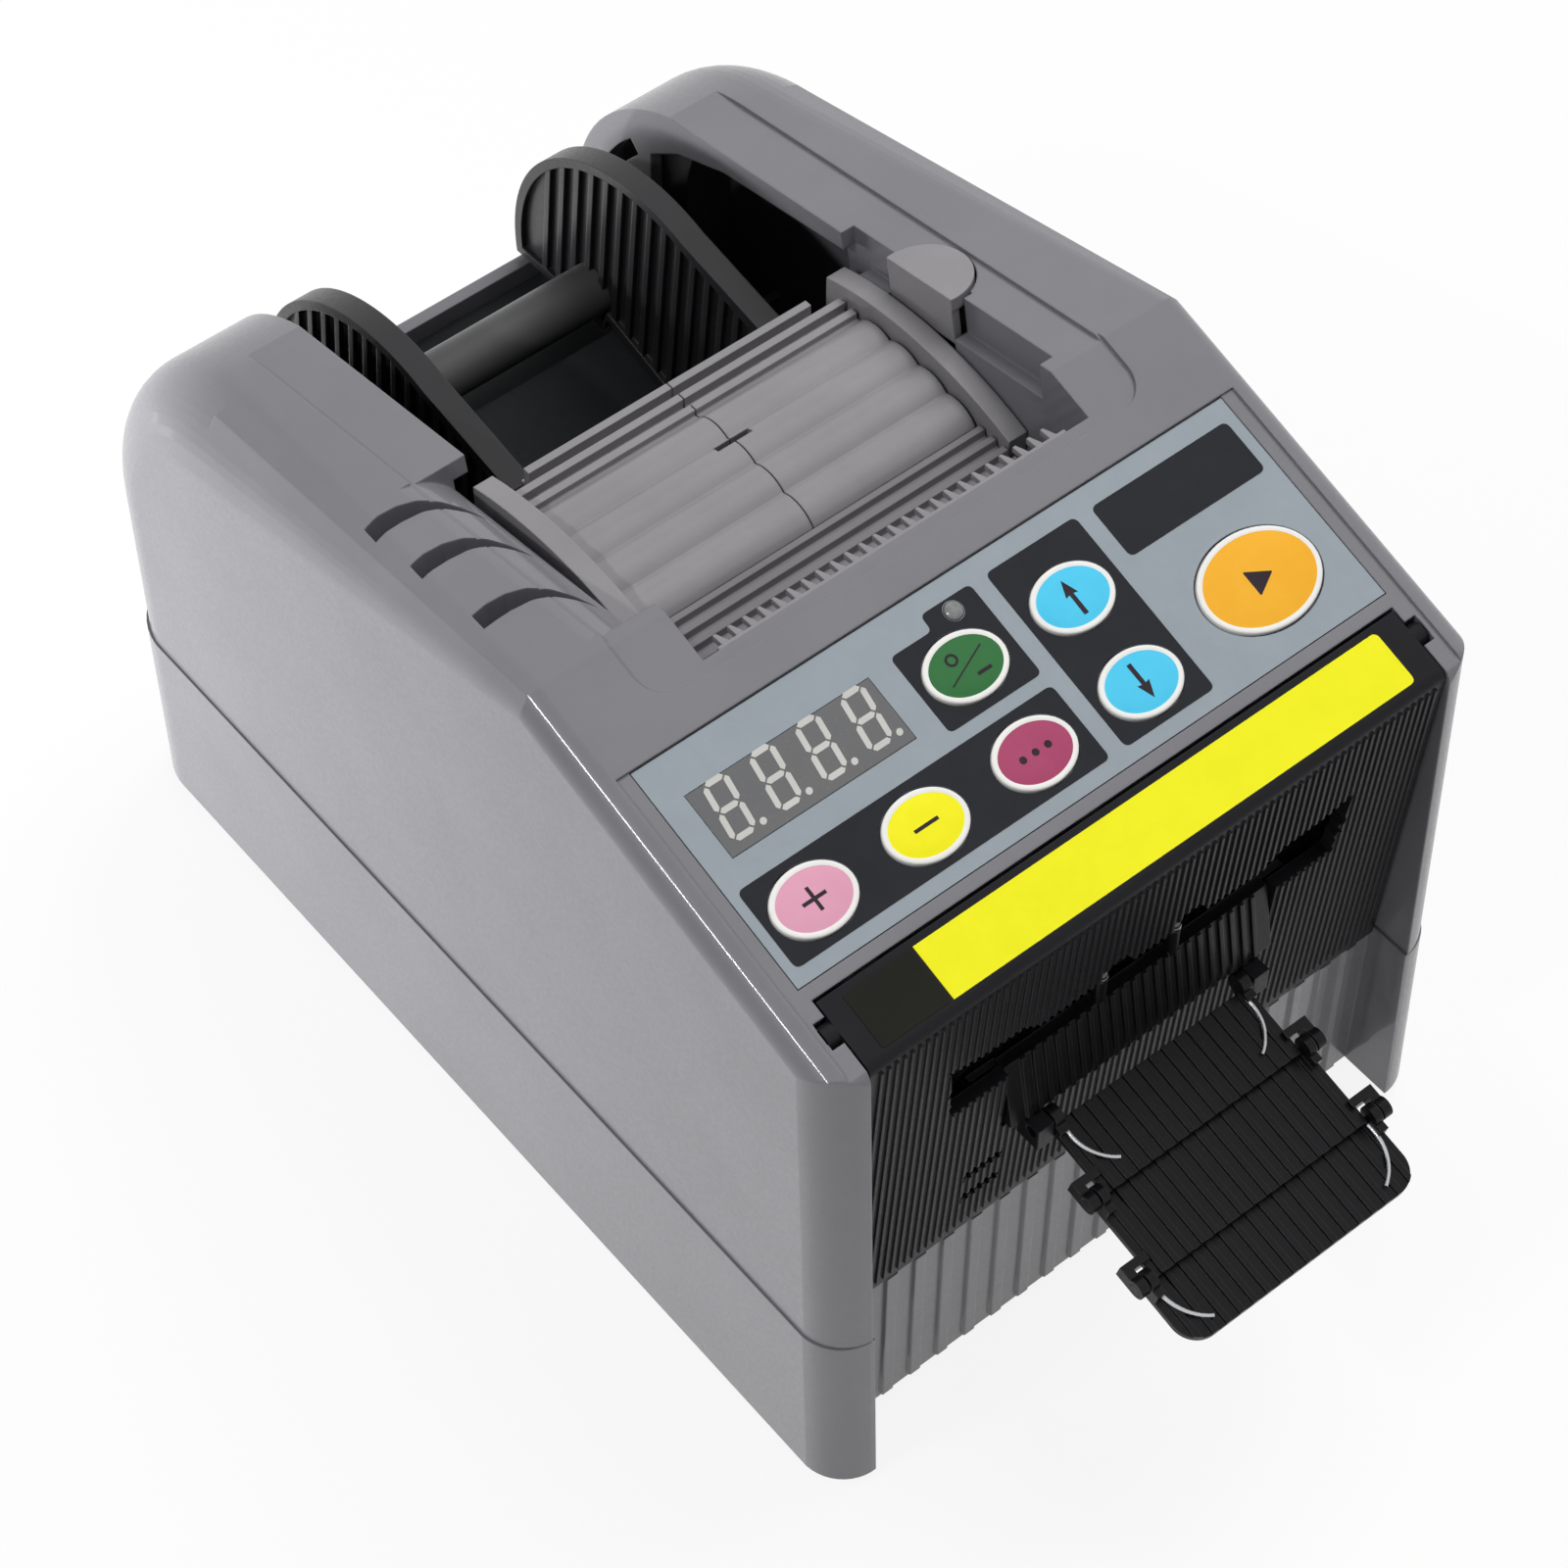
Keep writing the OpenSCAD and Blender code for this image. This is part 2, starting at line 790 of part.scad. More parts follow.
module side_plate_right() {
    color([0.72, 0.73, 0.75])
        along_x(46, 47.5)
            plate_sketch();
}

module motor_shelf() {
    color([0.7, 0.71, 0.73])
        translate([-46, 10.5, 37])
            cube([92, 20, 3]);
}

module blade_bar() {
    color([0.3, 0.3, 0.32])
        union() {
            difference() {
                translate([-46, 10, 76])
                    cube([92, 5.6, 13.4]);
                translate([0, screw_y, 70])
                    cylinder(r = 3, h = 30);
            }
            both_sides()
                translate([36, 12.4, 89])
                    cylinder(r = 2, h = 26);
        }
}

module fixed_blade() {
    color([0.8, 0.81, 0.83])
        along_x(-40, 40)
            polygon([[8.7, 80], [10, 80], [10, 90.6], [8.7, 91.2]]);
}

module feed_motor() {
    color([0.55, 0.56, 0.58])
        translate([0, motor_y, motor_z])
            rotate([0, 90, 0])
                difference() {
                    union() {
                        translate([0, 0, -46])
                            cylinder(r = 14, h = 32);
                        translate([0, 0, -14])
                            cylinder(r = 5, h = 2.4);
                    }
                    translate([0, 0, -47])
                        cylinder(r = 1.5 + run_gap, h = 4);
                }
}

module cutter_motor() {
    color([0.55, 0.56, 0.58])
        translate([0, screw_y, 40])
            difference() {
                union() {
                    cylinder(r = 8, h = 29);
                    cylinder(r = 3.5, h = 31.5);
                }
                translate([0, 0, 24])
                    cylinder(r = 1.2 + run_gap, h = 10);
            }
}

module power_board() {
    color([0.12, 0.36, 0.22])
        union() {
            translate([-28, 114, foot_h + 6.5])
                cube([76, 66, 1.6]);
            translate([-20, 122, foot_h + 8])
                cube([26, 24, 16]);
            translate([16, 128, foot_h + 8])
                cylinder(r = 5, h = 14);
            translate([30, 128, foot_h + 8])
                cylinder(r = 5, h = 14);
            translate([-16, 156, foot_h + 8])
                cube([40, 3, 20]);
        }
}

module dc_inlet() {
    color([0.1, 0.1, 0.11])
        translate([-39, body_d, 22])
            difference() {
                union() {
                    translate([-7, -14, -6])
                        cube([14, 14, 12]);
                    translate([-8.4, -wall - 1.4, -7.4])
                        cube([16.8, 1.4, 14.8]);
                }
                rotate([90, 0, 0])
                    difference() {
                        translate([0, 0, -1])
                            cylinder(r = 3.2, h = 11);
                        cylinder(r = 1, h = 11);
                    }
            }
}

module switch_body() {
    color([0.09, 0.09, 0.1])
        translate([37, body_d, 24])
            difference() {
                union() {
                    translate([-7, -16, -10])
                        cube([14, 16, 20]);
                    translate([-8.4, -wall - 1.4, -11.4])
                        cube([16.8, 1.4, 22.8]);
                }
                translate([-5, -9, -8])
                    cube([10, 12, 16]);
                translate([-6.2, -4.5, 0])
                    rotate([0, 90, 0])
                        cylinder(r = 1.2 + run_gap, h = 12.4);
            }
}

module rocker() {
    color([0.14, 0.14, 0.15])
        translate([37, body_d - 4.5, 24])
            rotate([-9, 0, 0])
                union() {
                    along_x(-4.6, 4.6)
                        difference() {
                            polygon([[0, -7], [3.2, -7], [2.2, 0], [3.2, 7], [0, 7], [-3, 2.2], [-3, -2.2]]);
                            translate([14, 0])
                                circle(12.2);
                        }
                    translate([-6, 0, 0])
                        rotate([0, 90, 0])
                            cylinder(r = 1.2, h = 12);
                }
}

module tape_sensor() {
    color([0.08, 0.08, 0.09])
        translate([38, 24, 85])
            difference() {
                cube([8, 10, 14]);
                translate([-1, -1, 5])
                    cube([6, 12, 4]);
            }
}

module case_screws() {
    color([0.6, 0.61, 0.63])
        for (p = screw_xy)
            translate([p[0], p[1], foot_h + 0.6]) {
                difference() {
                    cylinder(r = 3, h = 2.4);
                    translate([-0.5, -2.2, -1])
                        cube([1, 4.4, 2]);
                    translate([-2.2, -0.5, -1])
                        cube([4.4, 1, 2]);
                }
                cylinder(r = 1.45, h = seam_z + 12 - foot_h);
            }
}

module foot(i) {
    color([0.13, 0.13, 0.14])
        translate([foot_xy[i][0], foot_xy[i][1], 0])
            difference() {
                cylinder(r = foot_r, h = foot_h + 1.2);
                translate([0, 0, -1])
                    cylinder(r = foot_r - 3, h = 1.6);
            }
}

module foot_front_left() {
    foot(0);
}

module foot_front_right() {
    foot(1);
}

module foot_rear_left() {
    foot(2);
}

module foot_rear_right() {
    foot(3);
}

module feed_shaft() {
    color([0.78, 0.79, 0.8])
        translate([-54.6, feed_y, feed_z])
            rotate([0, 90, 0])
                cylinder(r = 2.5, h = 103.6);
}

module feed_tyres() {
    color([0.16, 0.16, 0.17])
        for (x = [-38, -18, 6, 26])
            translate([x, feed_y, feed_z])
                rotate([0, 90, 0])
                    difference() {
                        cylinder(r = feed_r, h = 12);
                        translate([0, 0, -1])
                            cylinder(r = 2.5, h = 14);
                    }
}

module feed_gear() {
    color([0.9, 0.9, 0.86])
        translate([-54.4, feed_y, feed_z])
            rotate([0, 90, 0])
                linear_extrude(4.8)
                    rotate(gear_phase)
                        gear_sketch(gear_n, 2.5, 0);
}

module motor_pinion() {
    color([0.85, 0.7, 0.35])
        translate([-54.4, motor_y, motor_z])
            rotate([0, 90, 0])
                union() {
                    linear_extrude(4.8)
                        rotate(gear_phase)
                            gear_sketch(pinion_n, 0, 180 / pinion_n);
                    cylinder(r = 1.5, h = 11);
                }
}

// direction from one gear centre to the other, seen along x
gear_phase = atan2(motor_y - feed_y, -(motor_z - feed_z));

module pinch_roller() {
    color([0.2, 0.2, 0.21])
        translate([-49, feed_y, pinch_z])
            rotate([0, 90, 0]) {
                cylinder(r = 2, h = 98);
                translate([0, 0, 9])
                    cylinder(r = pinch_r, h = 80);
            }
}

module blade_carrier() {
    color([0.22, 0.22, 0.24])
        difference() {
            union() {
                translate([-41, 8.4, 103.5])
                    cube([82, 7, 8.5]);
                translate([-7, 15, 103.5])
                    cube([14, 7, 8.5]);
            }
            both_sides()
                translate([36, 12.4, 100])
                    cylinder(r = 2 + run_gap, h = 20);
            translate([0, screw_y, 100])
                cylinder(r = 2.5 + run_gap, h = 20);
        }
}

module moving_blade() {
    color([0.82, 0.83, 0.85])
        translate([0, 8.4, 0])
            rotate([90, 0, 0])
                linear_extrude(1.3)
                    polygon(concat([[40, 112], [-40, 112]],
                        [for (i = [0:20]) let (rise = abs(10 - i) * 0.22)
                            each [[-40 + i * 3.8, 95 + rise], [-38.1 + i * 3.8, 96.6 + rise]]],
                        [[40, 97.2]]));
}

module cutter_screw() {
    color([0.76, 0.77, 0.79])
        translate([0, screw_y, 0]) {
            translate([0, 0, 72])
                cylinder(r = 2.5, h = 43);
            translate([0, 0, 64.6])
                cylinder(r = 1.2, h = 8);
        }
}

module cover_sketch(g0, g1) {
    difference() {
        polygon([[band_s1 * cp + g0 * sp, bend_z + band_s1 * sp - g0 * cp], cover_bend(g0),
            [g0 * cd + (bend_z - cover_z0) * tan(face_a), cover_z0],
            [g1 * cd + (bend_z - cover_z0) * tan(face_a), cover_z0], cover_bend(g1),
            [band_s1 * cp + g1 * sp, bend_z + band_s1 * sp - g1 * cp]]);
        corner_waste(cover_bend(g0 + 2), 90 + panel_tilt, 180 + face_a, 2);
    }
}

module outlet_sketch() {
    polygon([[-29.4, 71.5], [29.4, 71.5], [29.4, 87.5], [outlet_hw - 2, 87.5],
        [outlet_hw - 1, 89.8], [outlet_hw - 1.6, 91], [outlet_hw - 0.4, 92.4],
        [outlet_hw - 1.2, 93.8], [outlet_hw, 95.4], [outlet_hw - 0.6, 97], [outlet_hw, 103],
        [38, 101.5], [28, 101], [24, 98], [12, 98.4], [-12, 98.4], [-24, 98],
        [-28, 101], [-38, 101.5], [-outlet_hw, 103],
        [-outlet_hw + 0.6, 97], [-outlet_hw, 95.4], [-outlet_hw + 1.2, 93.8], [-outlet_hw + 0.4, 92.4],
        [-outlet_hw + 1.6, 91], [-outlet_hw + 1, 89.8], [-outlet_hw + 2, 87.5], [-29.4, 87.5]]);
    both_sides()
        translate([8, 98])
            circle(3.6);
}

module front_cover() {
    color([0.12, 0.12, 0.13])
        union() {
            difference() {
                union() {
                    along_x(-cover_hw, cover_hw)
                        cover_sketch(zone_d, zone_d + cover_t);
                    // fine ribs down the face
                    on_face()
                        translate([0, zone_d, -76])
                            linear_extrude(73.4)
                                polygon(rib_points(cover_hw - 0.8, -0.3,
                                    floor(2 * cover_hw / rib_pitch), -0.45));
                }
                translate([0, 20, 0])
                    rotate([90, 0, 0])
                        linear_extrude(40)
                            outlet_sketch();
                // small vents beside the tray
                for (z = [54, 61])
                    translate([-37, -10, z])
                        cube([9, 30, 1.8]);
            }
            both_sides() {
                translate([cover_hw - 1, pivot_y, pivot_z])
                    rotate([0, 90, 0]) {
                        cylinder(r = ear_r, h = 3.4);
                        cylinder(r = 1.2, h = 6.4);
                    }
                // hinge ears for the tray
                difference() {
                    translate([tray_w0 + 0.4, -1.6, 66.5])
                        union() {
                            cube([3.4, 4.2, 5.4]);
                            cube([3.4, 6.8, 4.4]);
                        }
                    on_tray()
                        translate([tray_w0, -axis_u[0], axis_w[0]])
                            rotate([0, 90, 0])
                                cylinder(r = tray_pin_r + run_gap, h = 6);
                }
            }
        }
}

module cover_strip() {
    color([0.95, 0.9, 0.12])
        on_panel()
            translate([-42.8, 2.6, -zone_d])
                cube([98.4, 10, 0.15]);
}

module outlet_guide() {
    color([0.09, 0.09, 0.1])
        union() {
            along_x(-29, 29)
                polygon([[6.7, 87], [4.4, 87], [1.6, 72.6], [4.6, 71.8], [6.7, 71.8]]);
            // ribs down the slope
            translate([0, 4.4, 87])
                rotate([-atan(2.8 / 14.8), 0, 0])
                    mirror([0, 0, 1])
                        linear_extrude(14.4)
                            polygon(rib_points(27, -0.4, 22, -0.6));
            both_sides()
                translate([8, 5.2, 86])
                    cylinder(r = 1.3, h = 8);
            // back lugs behind the cover
            both_sides()
                translate([28.5, 6.3, 73])
                    cube([6, 1.3, 13]);
        }
}

// one hinged tray section: i picks its place in the chain, ears carry the next one
module tray_section(i, ears) {
    w = tray_hw[i];
    u0 = i == 0 ? axis_u[0] + 1 : axis_u[i] - 0.8;
    u1 = ears ? axis_u[i + 1] + 0.4 : tip_u;
    kw = i == 0 ? 2 : w - tray_hw[i - 1] - 0.4;
    on_tray()
        difference() {
            union() {
                translate([0, -u0, top_w[i]])
                    rotate([90, 0, 0])
                        linear_extrude(u1 - u0)
                            polygon(rib_points(w, tray_t, 15 + i, rib_h));
                // knuckles with their pins
                both_sides() {
                    translate([w - kw, -axis_u[i], axis_w[i]])
                        rotate([0, 90, 0]) {
                            cylinder(r = 2, h = kw);
                            cylinder(r = tray_pin_r, h = kw + ear_w);
                        }
                    translate([w - kw, -axis_u[i] - 3.4, top_w[i] - tray_t])
                        cube([kw, 3.2, axis_w[i] - top_w[i] + tray_t]);
                    if (ears)
                        difference() {
                            union() {
                                translate([tray_hw[i + 1] + 0.4, -axis_u[i + 1], axis_w[i + 1]])
                                    rotate([0, 90, 0])
                                        cylinder(r = 1.9, h = ear_w - 0.4);
                                translate([tray_hw[i + 1] + 0.4, -axis_u[i + 1], axis_w[i + 1] - 1.9])
                                    cube([ear_w - 0.4, 4.2, 2.9]);
                                translate([w - 1, -axis_u[i + 1] + 2.6, axis_w[i + 1] - 1.9])
                                    cube([tray_hw[i + 1] - w + 1 + ear_w, 1.6, 2.9]);
                            }
                            translate([tray_hw[i + 1], -axis_u[i + 1], axis_w[i + 1]])
                                rotate([0, 90, 0])
                                    cylinder(r = tray_pin_r + run_gap, h = 6);
                        }
                }
            }
            if (!ears)
                both_sides()
                    translate([w - 5, -tip_u + 5, -20])
                        difference() {
                            translate([0, -6, 0])
                                cube([6, 6, 40]);
                            cylinder(r = 5, h = 40);
                        }
        }
}

module tray_inner() {
    color([0.12, 0.12, 0.13])
        tray_section(0, true);
}

module tray_middle() {
    color([0.12, 0.12, 0.13])
        tray_section(1, true);
}

module tray_outer() {
    color([0.12, 0.12, 0.13])
        tray_section(2, false);
}

module hood_sketch() {
    difference() {
        union() {
            intersection() {
                translate([hood_cy, hood_cz])
                    difference() {
                        union() {
                            circle(hood_r - lobe_d, $fn = 128);
                            // four rounded lobes
                            for (a = [0:3])
                                rotate(12 - a * 6.5)
                                    translate([0, hood_r - lobe_r])
                                        circle(lobe_r);
                        }
                        circle(hood_r - 1.1 - hood_t, $fn = 128);
                    }
                translate([88.2, 110])
                    square([40.2, 30]);
            }
            translate([rod_y, rod_z])
                circle(3);
            // ridges on the rear ledge
            for (y = [119.6, 122.8, 126])
                translate([y, rod_z + 2.6])
                    square([1.5, 3.4]);
        }
        translate([rod_y, rod_z])
            circle(rod_r + run_gap);
    }
}

module hood_half() {
    difference() {
        along_x(0.15, hood_hw)
            hood_sketch();
        translate([30.6, 125.6, 116])
            cube([10, 8, 20]);
        translate([-1, 108.8, 116])
            cube([4.7, 1.5, 20]);
    }
}

module hood_left() {
    color([0.66, 0.67, 0.7])
        mirror([1, 0, 0])
            hood_half();
}

module hood_right() {
    color([0.66, 0.67, 0.7])
        hood_half();
}

module release_tab() {
    color([0.68, 0.69, 0.72])
        on_rear()
            union() {
                intersection() {
                    translate([well_hw + 1.6, 34.6, -2.6])
                        cylinder(r = 8.6, h = 2.6);
                    translate([well_hw + 0.4, 20, -10])
                        cube([20, 30, 20]);
                }
                translate([well_hw + 0.4, 34.6 - 8.4, -9.5])
                    cube([1.6, 16.8, 7.5]);
                translate([46.5, 34.6, -26])
                    cylinder(r = 2, h = 24);
            }
}

module key_cap(i, a, b) {
    on_panel()
        translate([key_xy[i][0], key_xy[i][1], -zone_d - overlay_t]) {
            linear_extrude(overlay_t + 0.5)
                oval(a, b);
            translate([0, 0, -3.4])
                cylinder(r = 2.2, h = 3.6);
        }
}

module key_plus() {
    color([0.93, 0.35, 0.6])
        key_cap(0, key_a, key_b);
}

module key_minus() {
    color([0.95, 0.9, 0.2])
        key_cap(1, key_a, key_b);
}

module key_select() {
    color([0.85, 0.3, 0.6])
        key_cap(2, key_a, key_b);
}

module key_mode() {
    color([0.35, 0.7, 0.4])
        key_cap(3, key_a, key_b);
}

module key_up() {
    color([0.35, 0.75, 0.95])
        key_cap(4, key_a, key_b);
}

module key_down() {
    color([0.35, 0.75, 0.95])
        key_cap(5, key_a, key_b);
}

module key_start() {
    color([0.95, 0.5, 0.15])
        key_cap(6, start_a, start_b);
}

module reel_roller() {
    color([0.68, 0.69, 0.72])
        translate([0, roller_y, roller_z])
            rotate([0, 90, 0]) {
                translate([0, 0, -well_hw + 0.5])
                    cylinder(r = roller_r, h = well_w - 1);
                translate([0, 0, -well_hw - 2.2])
                    cylinder(r = 2.5, h = well_w + 4.4);
            }
}

module guide_outline(m) {
    difference() {
        union() {
            translate([disc_y, disc_z])
                circle(guide_r - m, $fn = 128);
            polygon([[132 + 2 * m, 115.6 - m], [156, disc_z + sqrt(pow(guide_r - m, 2) - 144)],
                [150, 90], [136 + m, 84]]);
        }
        polygon([[100, 57.7 + m], [179.6, 81.2 + m], [181, 77.6 + m], [230, 77.6 + m], [230, 20], [100, 20]]);
    }
}

module guide_half() {
    difference() {
        union() {
            along_x(guide_x, guide_x + 2.4)
                guide_outline(0);
            // raised rim
            along_x(guide_x - 1.2, guide_x + 0.1)
                difference() {
                    guide_outline(0);
                    guide_outline(2);
                }
            along_x(guide_x + 2.3, guide_x + 3.6)
                difference() {
                    guide_outline(0);
                    guide_outline(2);
                }
            // upright ribs on both faces
            along_x(guide_x - 1, guide_x + 3.4)
                intersection() {
                    guide_outline(1.5);
                    for (i = [0:13])
                        translate([146 + i * 4.2, 60])
                            rotate(6)
                                square([1.4, 80]);
                }
            translate([guide_x, roller_y, roller_z])
                rotate([0, 90, 0])
                    cylinder(r = 6.7, h = 9.5);
        }
        translate([guide_x - 5, roller_y, roller_z])
            rotate([0, 90, 0])
                cylinder(r = roller_r + run_gap, h = 20);
    }
}

module reel_guide_left() {
    color([0.1, 0.1, 0.11])
        mirror([1, 0, 0])
            guide_half();
}

module reel_guide_right() {
    color([0.1, 0.1, 0.11])
        guide_half();
}

place() base_case();
place() upper_case();
place() panel_overlay();
place() display_lens();
place() display_module();
place() status_lamp();
place() control_board();
place() key_switches();
place() well_liner();
place() ramp();
place() comb_guard();
place() flange_left();
place() flange_right();
place() hood_rod();
place() side_plate_left();
place() side_plate_right();
place() motor_shelf();
place() blade_bar();
place() fixed_blade();
place() feed_motor();
place() cutter_motor();
place() power_board();
place() dc_inlet();
place() switch_body();
place() tape_sensor();
place() case_screws();
place() foot_front_left();
place() foot_front_right();
place() foot_rear_left();
place() foot_rear_right();
place() feed_shaft();
place() feed_tyres();
place() feed_gear();
place() motor_pinion();
place() pinch_roller();
place() blade_carrier();
place() moving_blade();
place() cutter_screw();
place() front_cover();
place() cover_strip();
place() outlet_guide();
place() tray_inner();
place() tray_middle();
place() tray_outer();
place() hood_left();
place() hood_right();
place() release_tab();
place() key_plus();
place() key_minus();
place() key_select();
place() key_mode();
place() key_up();
place() key_down();
place() key_start();
place() reel_roller();
place() reel_guide_left();
place() reel_guide_right();
place() rocker();
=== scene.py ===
import json
import math
import bpy
import bmesh
from mathutils import Matrix, Vector


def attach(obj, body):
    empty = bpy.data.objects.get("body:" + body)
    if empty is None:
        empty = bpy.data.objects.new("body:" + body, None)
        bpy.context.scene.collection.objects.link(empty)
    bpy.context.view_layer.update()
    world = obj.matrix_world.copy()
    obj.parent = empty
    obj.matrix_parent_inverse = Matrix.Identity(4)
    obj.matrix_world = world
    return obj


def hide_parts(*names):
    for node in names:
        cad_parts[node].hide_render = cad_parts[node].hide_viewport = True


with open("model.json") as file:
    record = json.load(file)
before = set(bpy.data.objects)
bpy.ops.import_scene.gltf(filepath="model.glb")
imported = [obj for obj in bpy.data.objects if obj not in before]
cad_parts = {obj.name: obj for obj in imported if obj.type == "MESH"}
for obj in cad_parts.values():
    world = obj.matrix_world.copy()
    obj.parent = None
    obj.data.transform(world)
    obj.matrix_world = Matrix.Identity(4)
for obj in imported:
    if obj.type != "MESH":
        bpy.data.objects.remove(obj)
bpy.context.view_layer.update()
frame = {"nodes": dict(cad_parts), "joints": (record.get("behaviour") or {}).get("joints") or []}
nodes = frame["nodes"]
joints = {joint["name"]: joint for joint in frame["joints"]}
scene = bpy.context.scene
scene.view_settings.view_transform = "Standard"
mm = 0.001
print("frame loaded:", len(nodes), "nodes")


def linear(hexText):  # sRGB hex to a linear colour
    parts = [int(hexText[i:i + 2], 16) / 255 for i in (1, 3, 5)]
    return tuple(p / 12.92 if p <= 0.04045 else ((p + 0.055) / 1.055) ** 2.4 for p in parts) + (1.0,)


def add(tree, kind, links, **settings):  # one node with its settings and links
    node = tree.nodes.new("ShaderNode" + kind)
    for key, value in settings.items():
        setattr(node, key, value)
    for key, value in links.items():
        socket = node.inputs[key]
        if isinstance(value, bpy.types.NodeSocket):
            tree.links.new(value, socket)
        else:
            socket.default_value = value
    return node


def emptyTree(holder):  # node tree of a material or world, cleared
    holder.use_nodes = True
    holder.node_tree.nodes.clear()
    return holder.node_tree


def startMaterial(name):  # empty material and its object coordinates
    material = bpy.data.materials.new(name)
    tree = emptyTree(material)
    return material, tree, add(tree, "TexCoord", {}).outputs["Object"]


def closeMaterial(tree, sockets):  # principled shader with these sockets, joined to the output
    shader = add(tree, "BsdfPrincipled", sockets)
    add(tree, "OutputMaterial", {"Surface": shader.outputs[0]})


# moulded plastic: spark-eroded grain, faint flow clouds, edges rubbed smoother and painted lighter, partly
# as wear and partly as a painted highlight
# the tool's grain is near 0.1 mm and is drawn as coarse as grainMm so that it shows
def mouldedPlastic(look):
    material, tree, coords = startMaterial(look["name"])
    grain = add(tree, "TexNoise", {"Vector": coords, "Scale": 1 / (look["grainMm"] * mm), "Detail": 2.0,
                                   "Roughness": 0.6})
    cloud = add(tree, "TexNoise", {"Vector": coords, "Scale": 1 / (look["cloudMm"] * mm), "Detail": 5.0,
                                   "Roughness": 0.6})
    tone = add(tree, "MapRange", {"Value": cloud.outputs["Fac"], "From Min": 0.3, "From Max": 0.7})
    body = add(tree, "Mix", {0: tone.outputs[0], 6: linear(look["dark"]), 7: linear(look["light"])},
               data_type="RGBA")
    rounded = add(tree, "Bevel", {"Radius": look["edgeMm"] * mm}, samples=6)
    facing = add(tree, "NewGeometry", {})
    turn = add(tree, "VectorMath", {0: rounded.outputs[0], 1: facing.outputs["Normal"]},
               operation="DOT_PRODUCT")
    # rounded edges are mixed towards a lighter colour: partly rubbed wear, partly a painted highlight along
    # the edges
    rubbedAndSheenEdge = add(tree, "MapRange", {"Value": turn.outputs["Value"], "From Min": 0.99, "From Max": 0.8,
                                  "To Max": look["wearAndSheen"]})
    colour = add(tree, "Mix", {0: rubbedAndSheenEdge.outputs[0], 6: body.outputs[2], 7: linear(look["wornAndSheen"])},
                 data_type="RGBA")
    rough = add(tree, "MapRange", {"Value": grain.outputs["Fac"], "From Min": 0.3, "From Max": 0.7,
                                   "To Min": look["rough"] - 0.05, "To Max": look["rough"] + 0.07})
    relief = add(tree, "Bump", {"Height": grain.outputs["Fac"], "Strength": 0.5,
                                "Distance": look["reliefMm"] * mm, "Normal": rounded.outputs[0]})
    closeMaterial(tree, {"Base Color": colour.outputs[2], "Roughness": rough.outputs[0],
                         "Normal": relief.outputs[0], "IOR": 1.53, "Specular IOR Level": look["shine"],
                         "Coat Weight": look["coat"], "Coat Roughness": look["coatRough"]})
    return material


# moulded ABS, warm grey: satin skin with a fine even grain and a soft sheen along its rounded edges
caseLook = dict(name="mouldedAbsGrey", light="#78777c", dark="#727176", wornAndSheen="#868589", rough=0.4,
                grainMm=0.9, cloudMm=26, reliefMm=0.03, edgeMm=0.6, wearAndSheen=0.4,
                coat=0.5, coatRough=0.08, shine=0.25)
caseGrey = mouldedPlastic(caseLook)

# moulded ABS of the tape path, a little warmer and duller than the case: less polish in the tool
innerLook = dict(name="mouldedAbsWarmGrey", light="#8d8b8e", dark="#858386", wornAndSheen="#9d9b9d", rough=0.42,
                 grainMm=0.8, cloudMm=18, reliefMm=0.03, edgeMm=0.45, wearAndSheen=0.6,
                 coat=0.35, coatRough=0.12, shine=0.25)
innerGrey = mouldedPlastic(innerLook)

# moulded ABS of the well floor, painted dark grey as the shade deep in the well: dull and even, stays quiet
# under the reel
wellShadeLook = dict(name="mouldedAbsWellShade", light="#282a2c", dark="#222426", wornAndSheen="#343536", rough=0.55,
                 grainMm=0.9, cloudMm=22, reliefMm=0.03, edgeMm=0.4, wearAndSheen=0.5,
                 coat=0.0, coatRough=0.3, shine=0.12)
wellShadeGrey = mouldedPlastic(wellShadeLook)

# moulded ABS of the ramp, painted a darker middle grey than the case as the shade it lies in: rubbed dull
# by passing tape
rampShadeLook = dict(name="mouldedAbsRampShade", light="#7b797c", dark="#747275", wornAndSheen="#8a888a", rough=0.5,
                grainMm=0.8, cloudMm=15, reliefMm=0.03, edgeMm=0.35, wearAndSheen=0.6,
                coat=0.05, coatRough=0.25, shine=0.2)
rampShadeGrey = mouldedPlastic(rampShadeLook)

# turned PVC of the reel roller, middle grey: smoother than the case, a long soft highlight
rollerLook = dict(name="turnedPvcGrey", light="#565756", dark="#4e4f4e", wornAndSheen="#626362", rough=0.36,
                  grainMm=0.5, cloudMm=30, reliefMm=0.015, edgeMm=0.4, wearAndSheen=0.5,
                  coat=0.05, coatRough=0.2, shine=0.2)
rollerGrey = mouldedPlastic(rollerLook)

# moulded ABS of the cover and small fittings, black: reads as dark grey, its ribs catch thin light lines
blackLook = dict(name="mouldedAbsBlack", light="#1d1d20", dark="#17171a", wornAndSheen="#323236", rough=0.42,
                 grainMm=0.7, cloudMm=20, reliefMm=0.02, edgeMm=0.3, wearAndSheen=0.5,
                 coat=0.02, coatRough=0.25, shine=0.12)
blackAbs = mouldedPlastic(blackLook)

# moulded ABS of the reel guides, polished black: grey sheen over the flats, bright rims
guideLook = dict(name="mouldedAbsPolishedBlack", light="#262628", dark="#202022", wornAndSheen="#3e3e41",
                 rough=0.34, grainMm=1.0, cloudMm=24, reliefMm=0.02, edgeMm=0.4, wearAndSheen=0.6,
                 coat=0.05, coatRough=0.12, shine=0.3)
guideBlack = mouldedPlastic(guideLook)

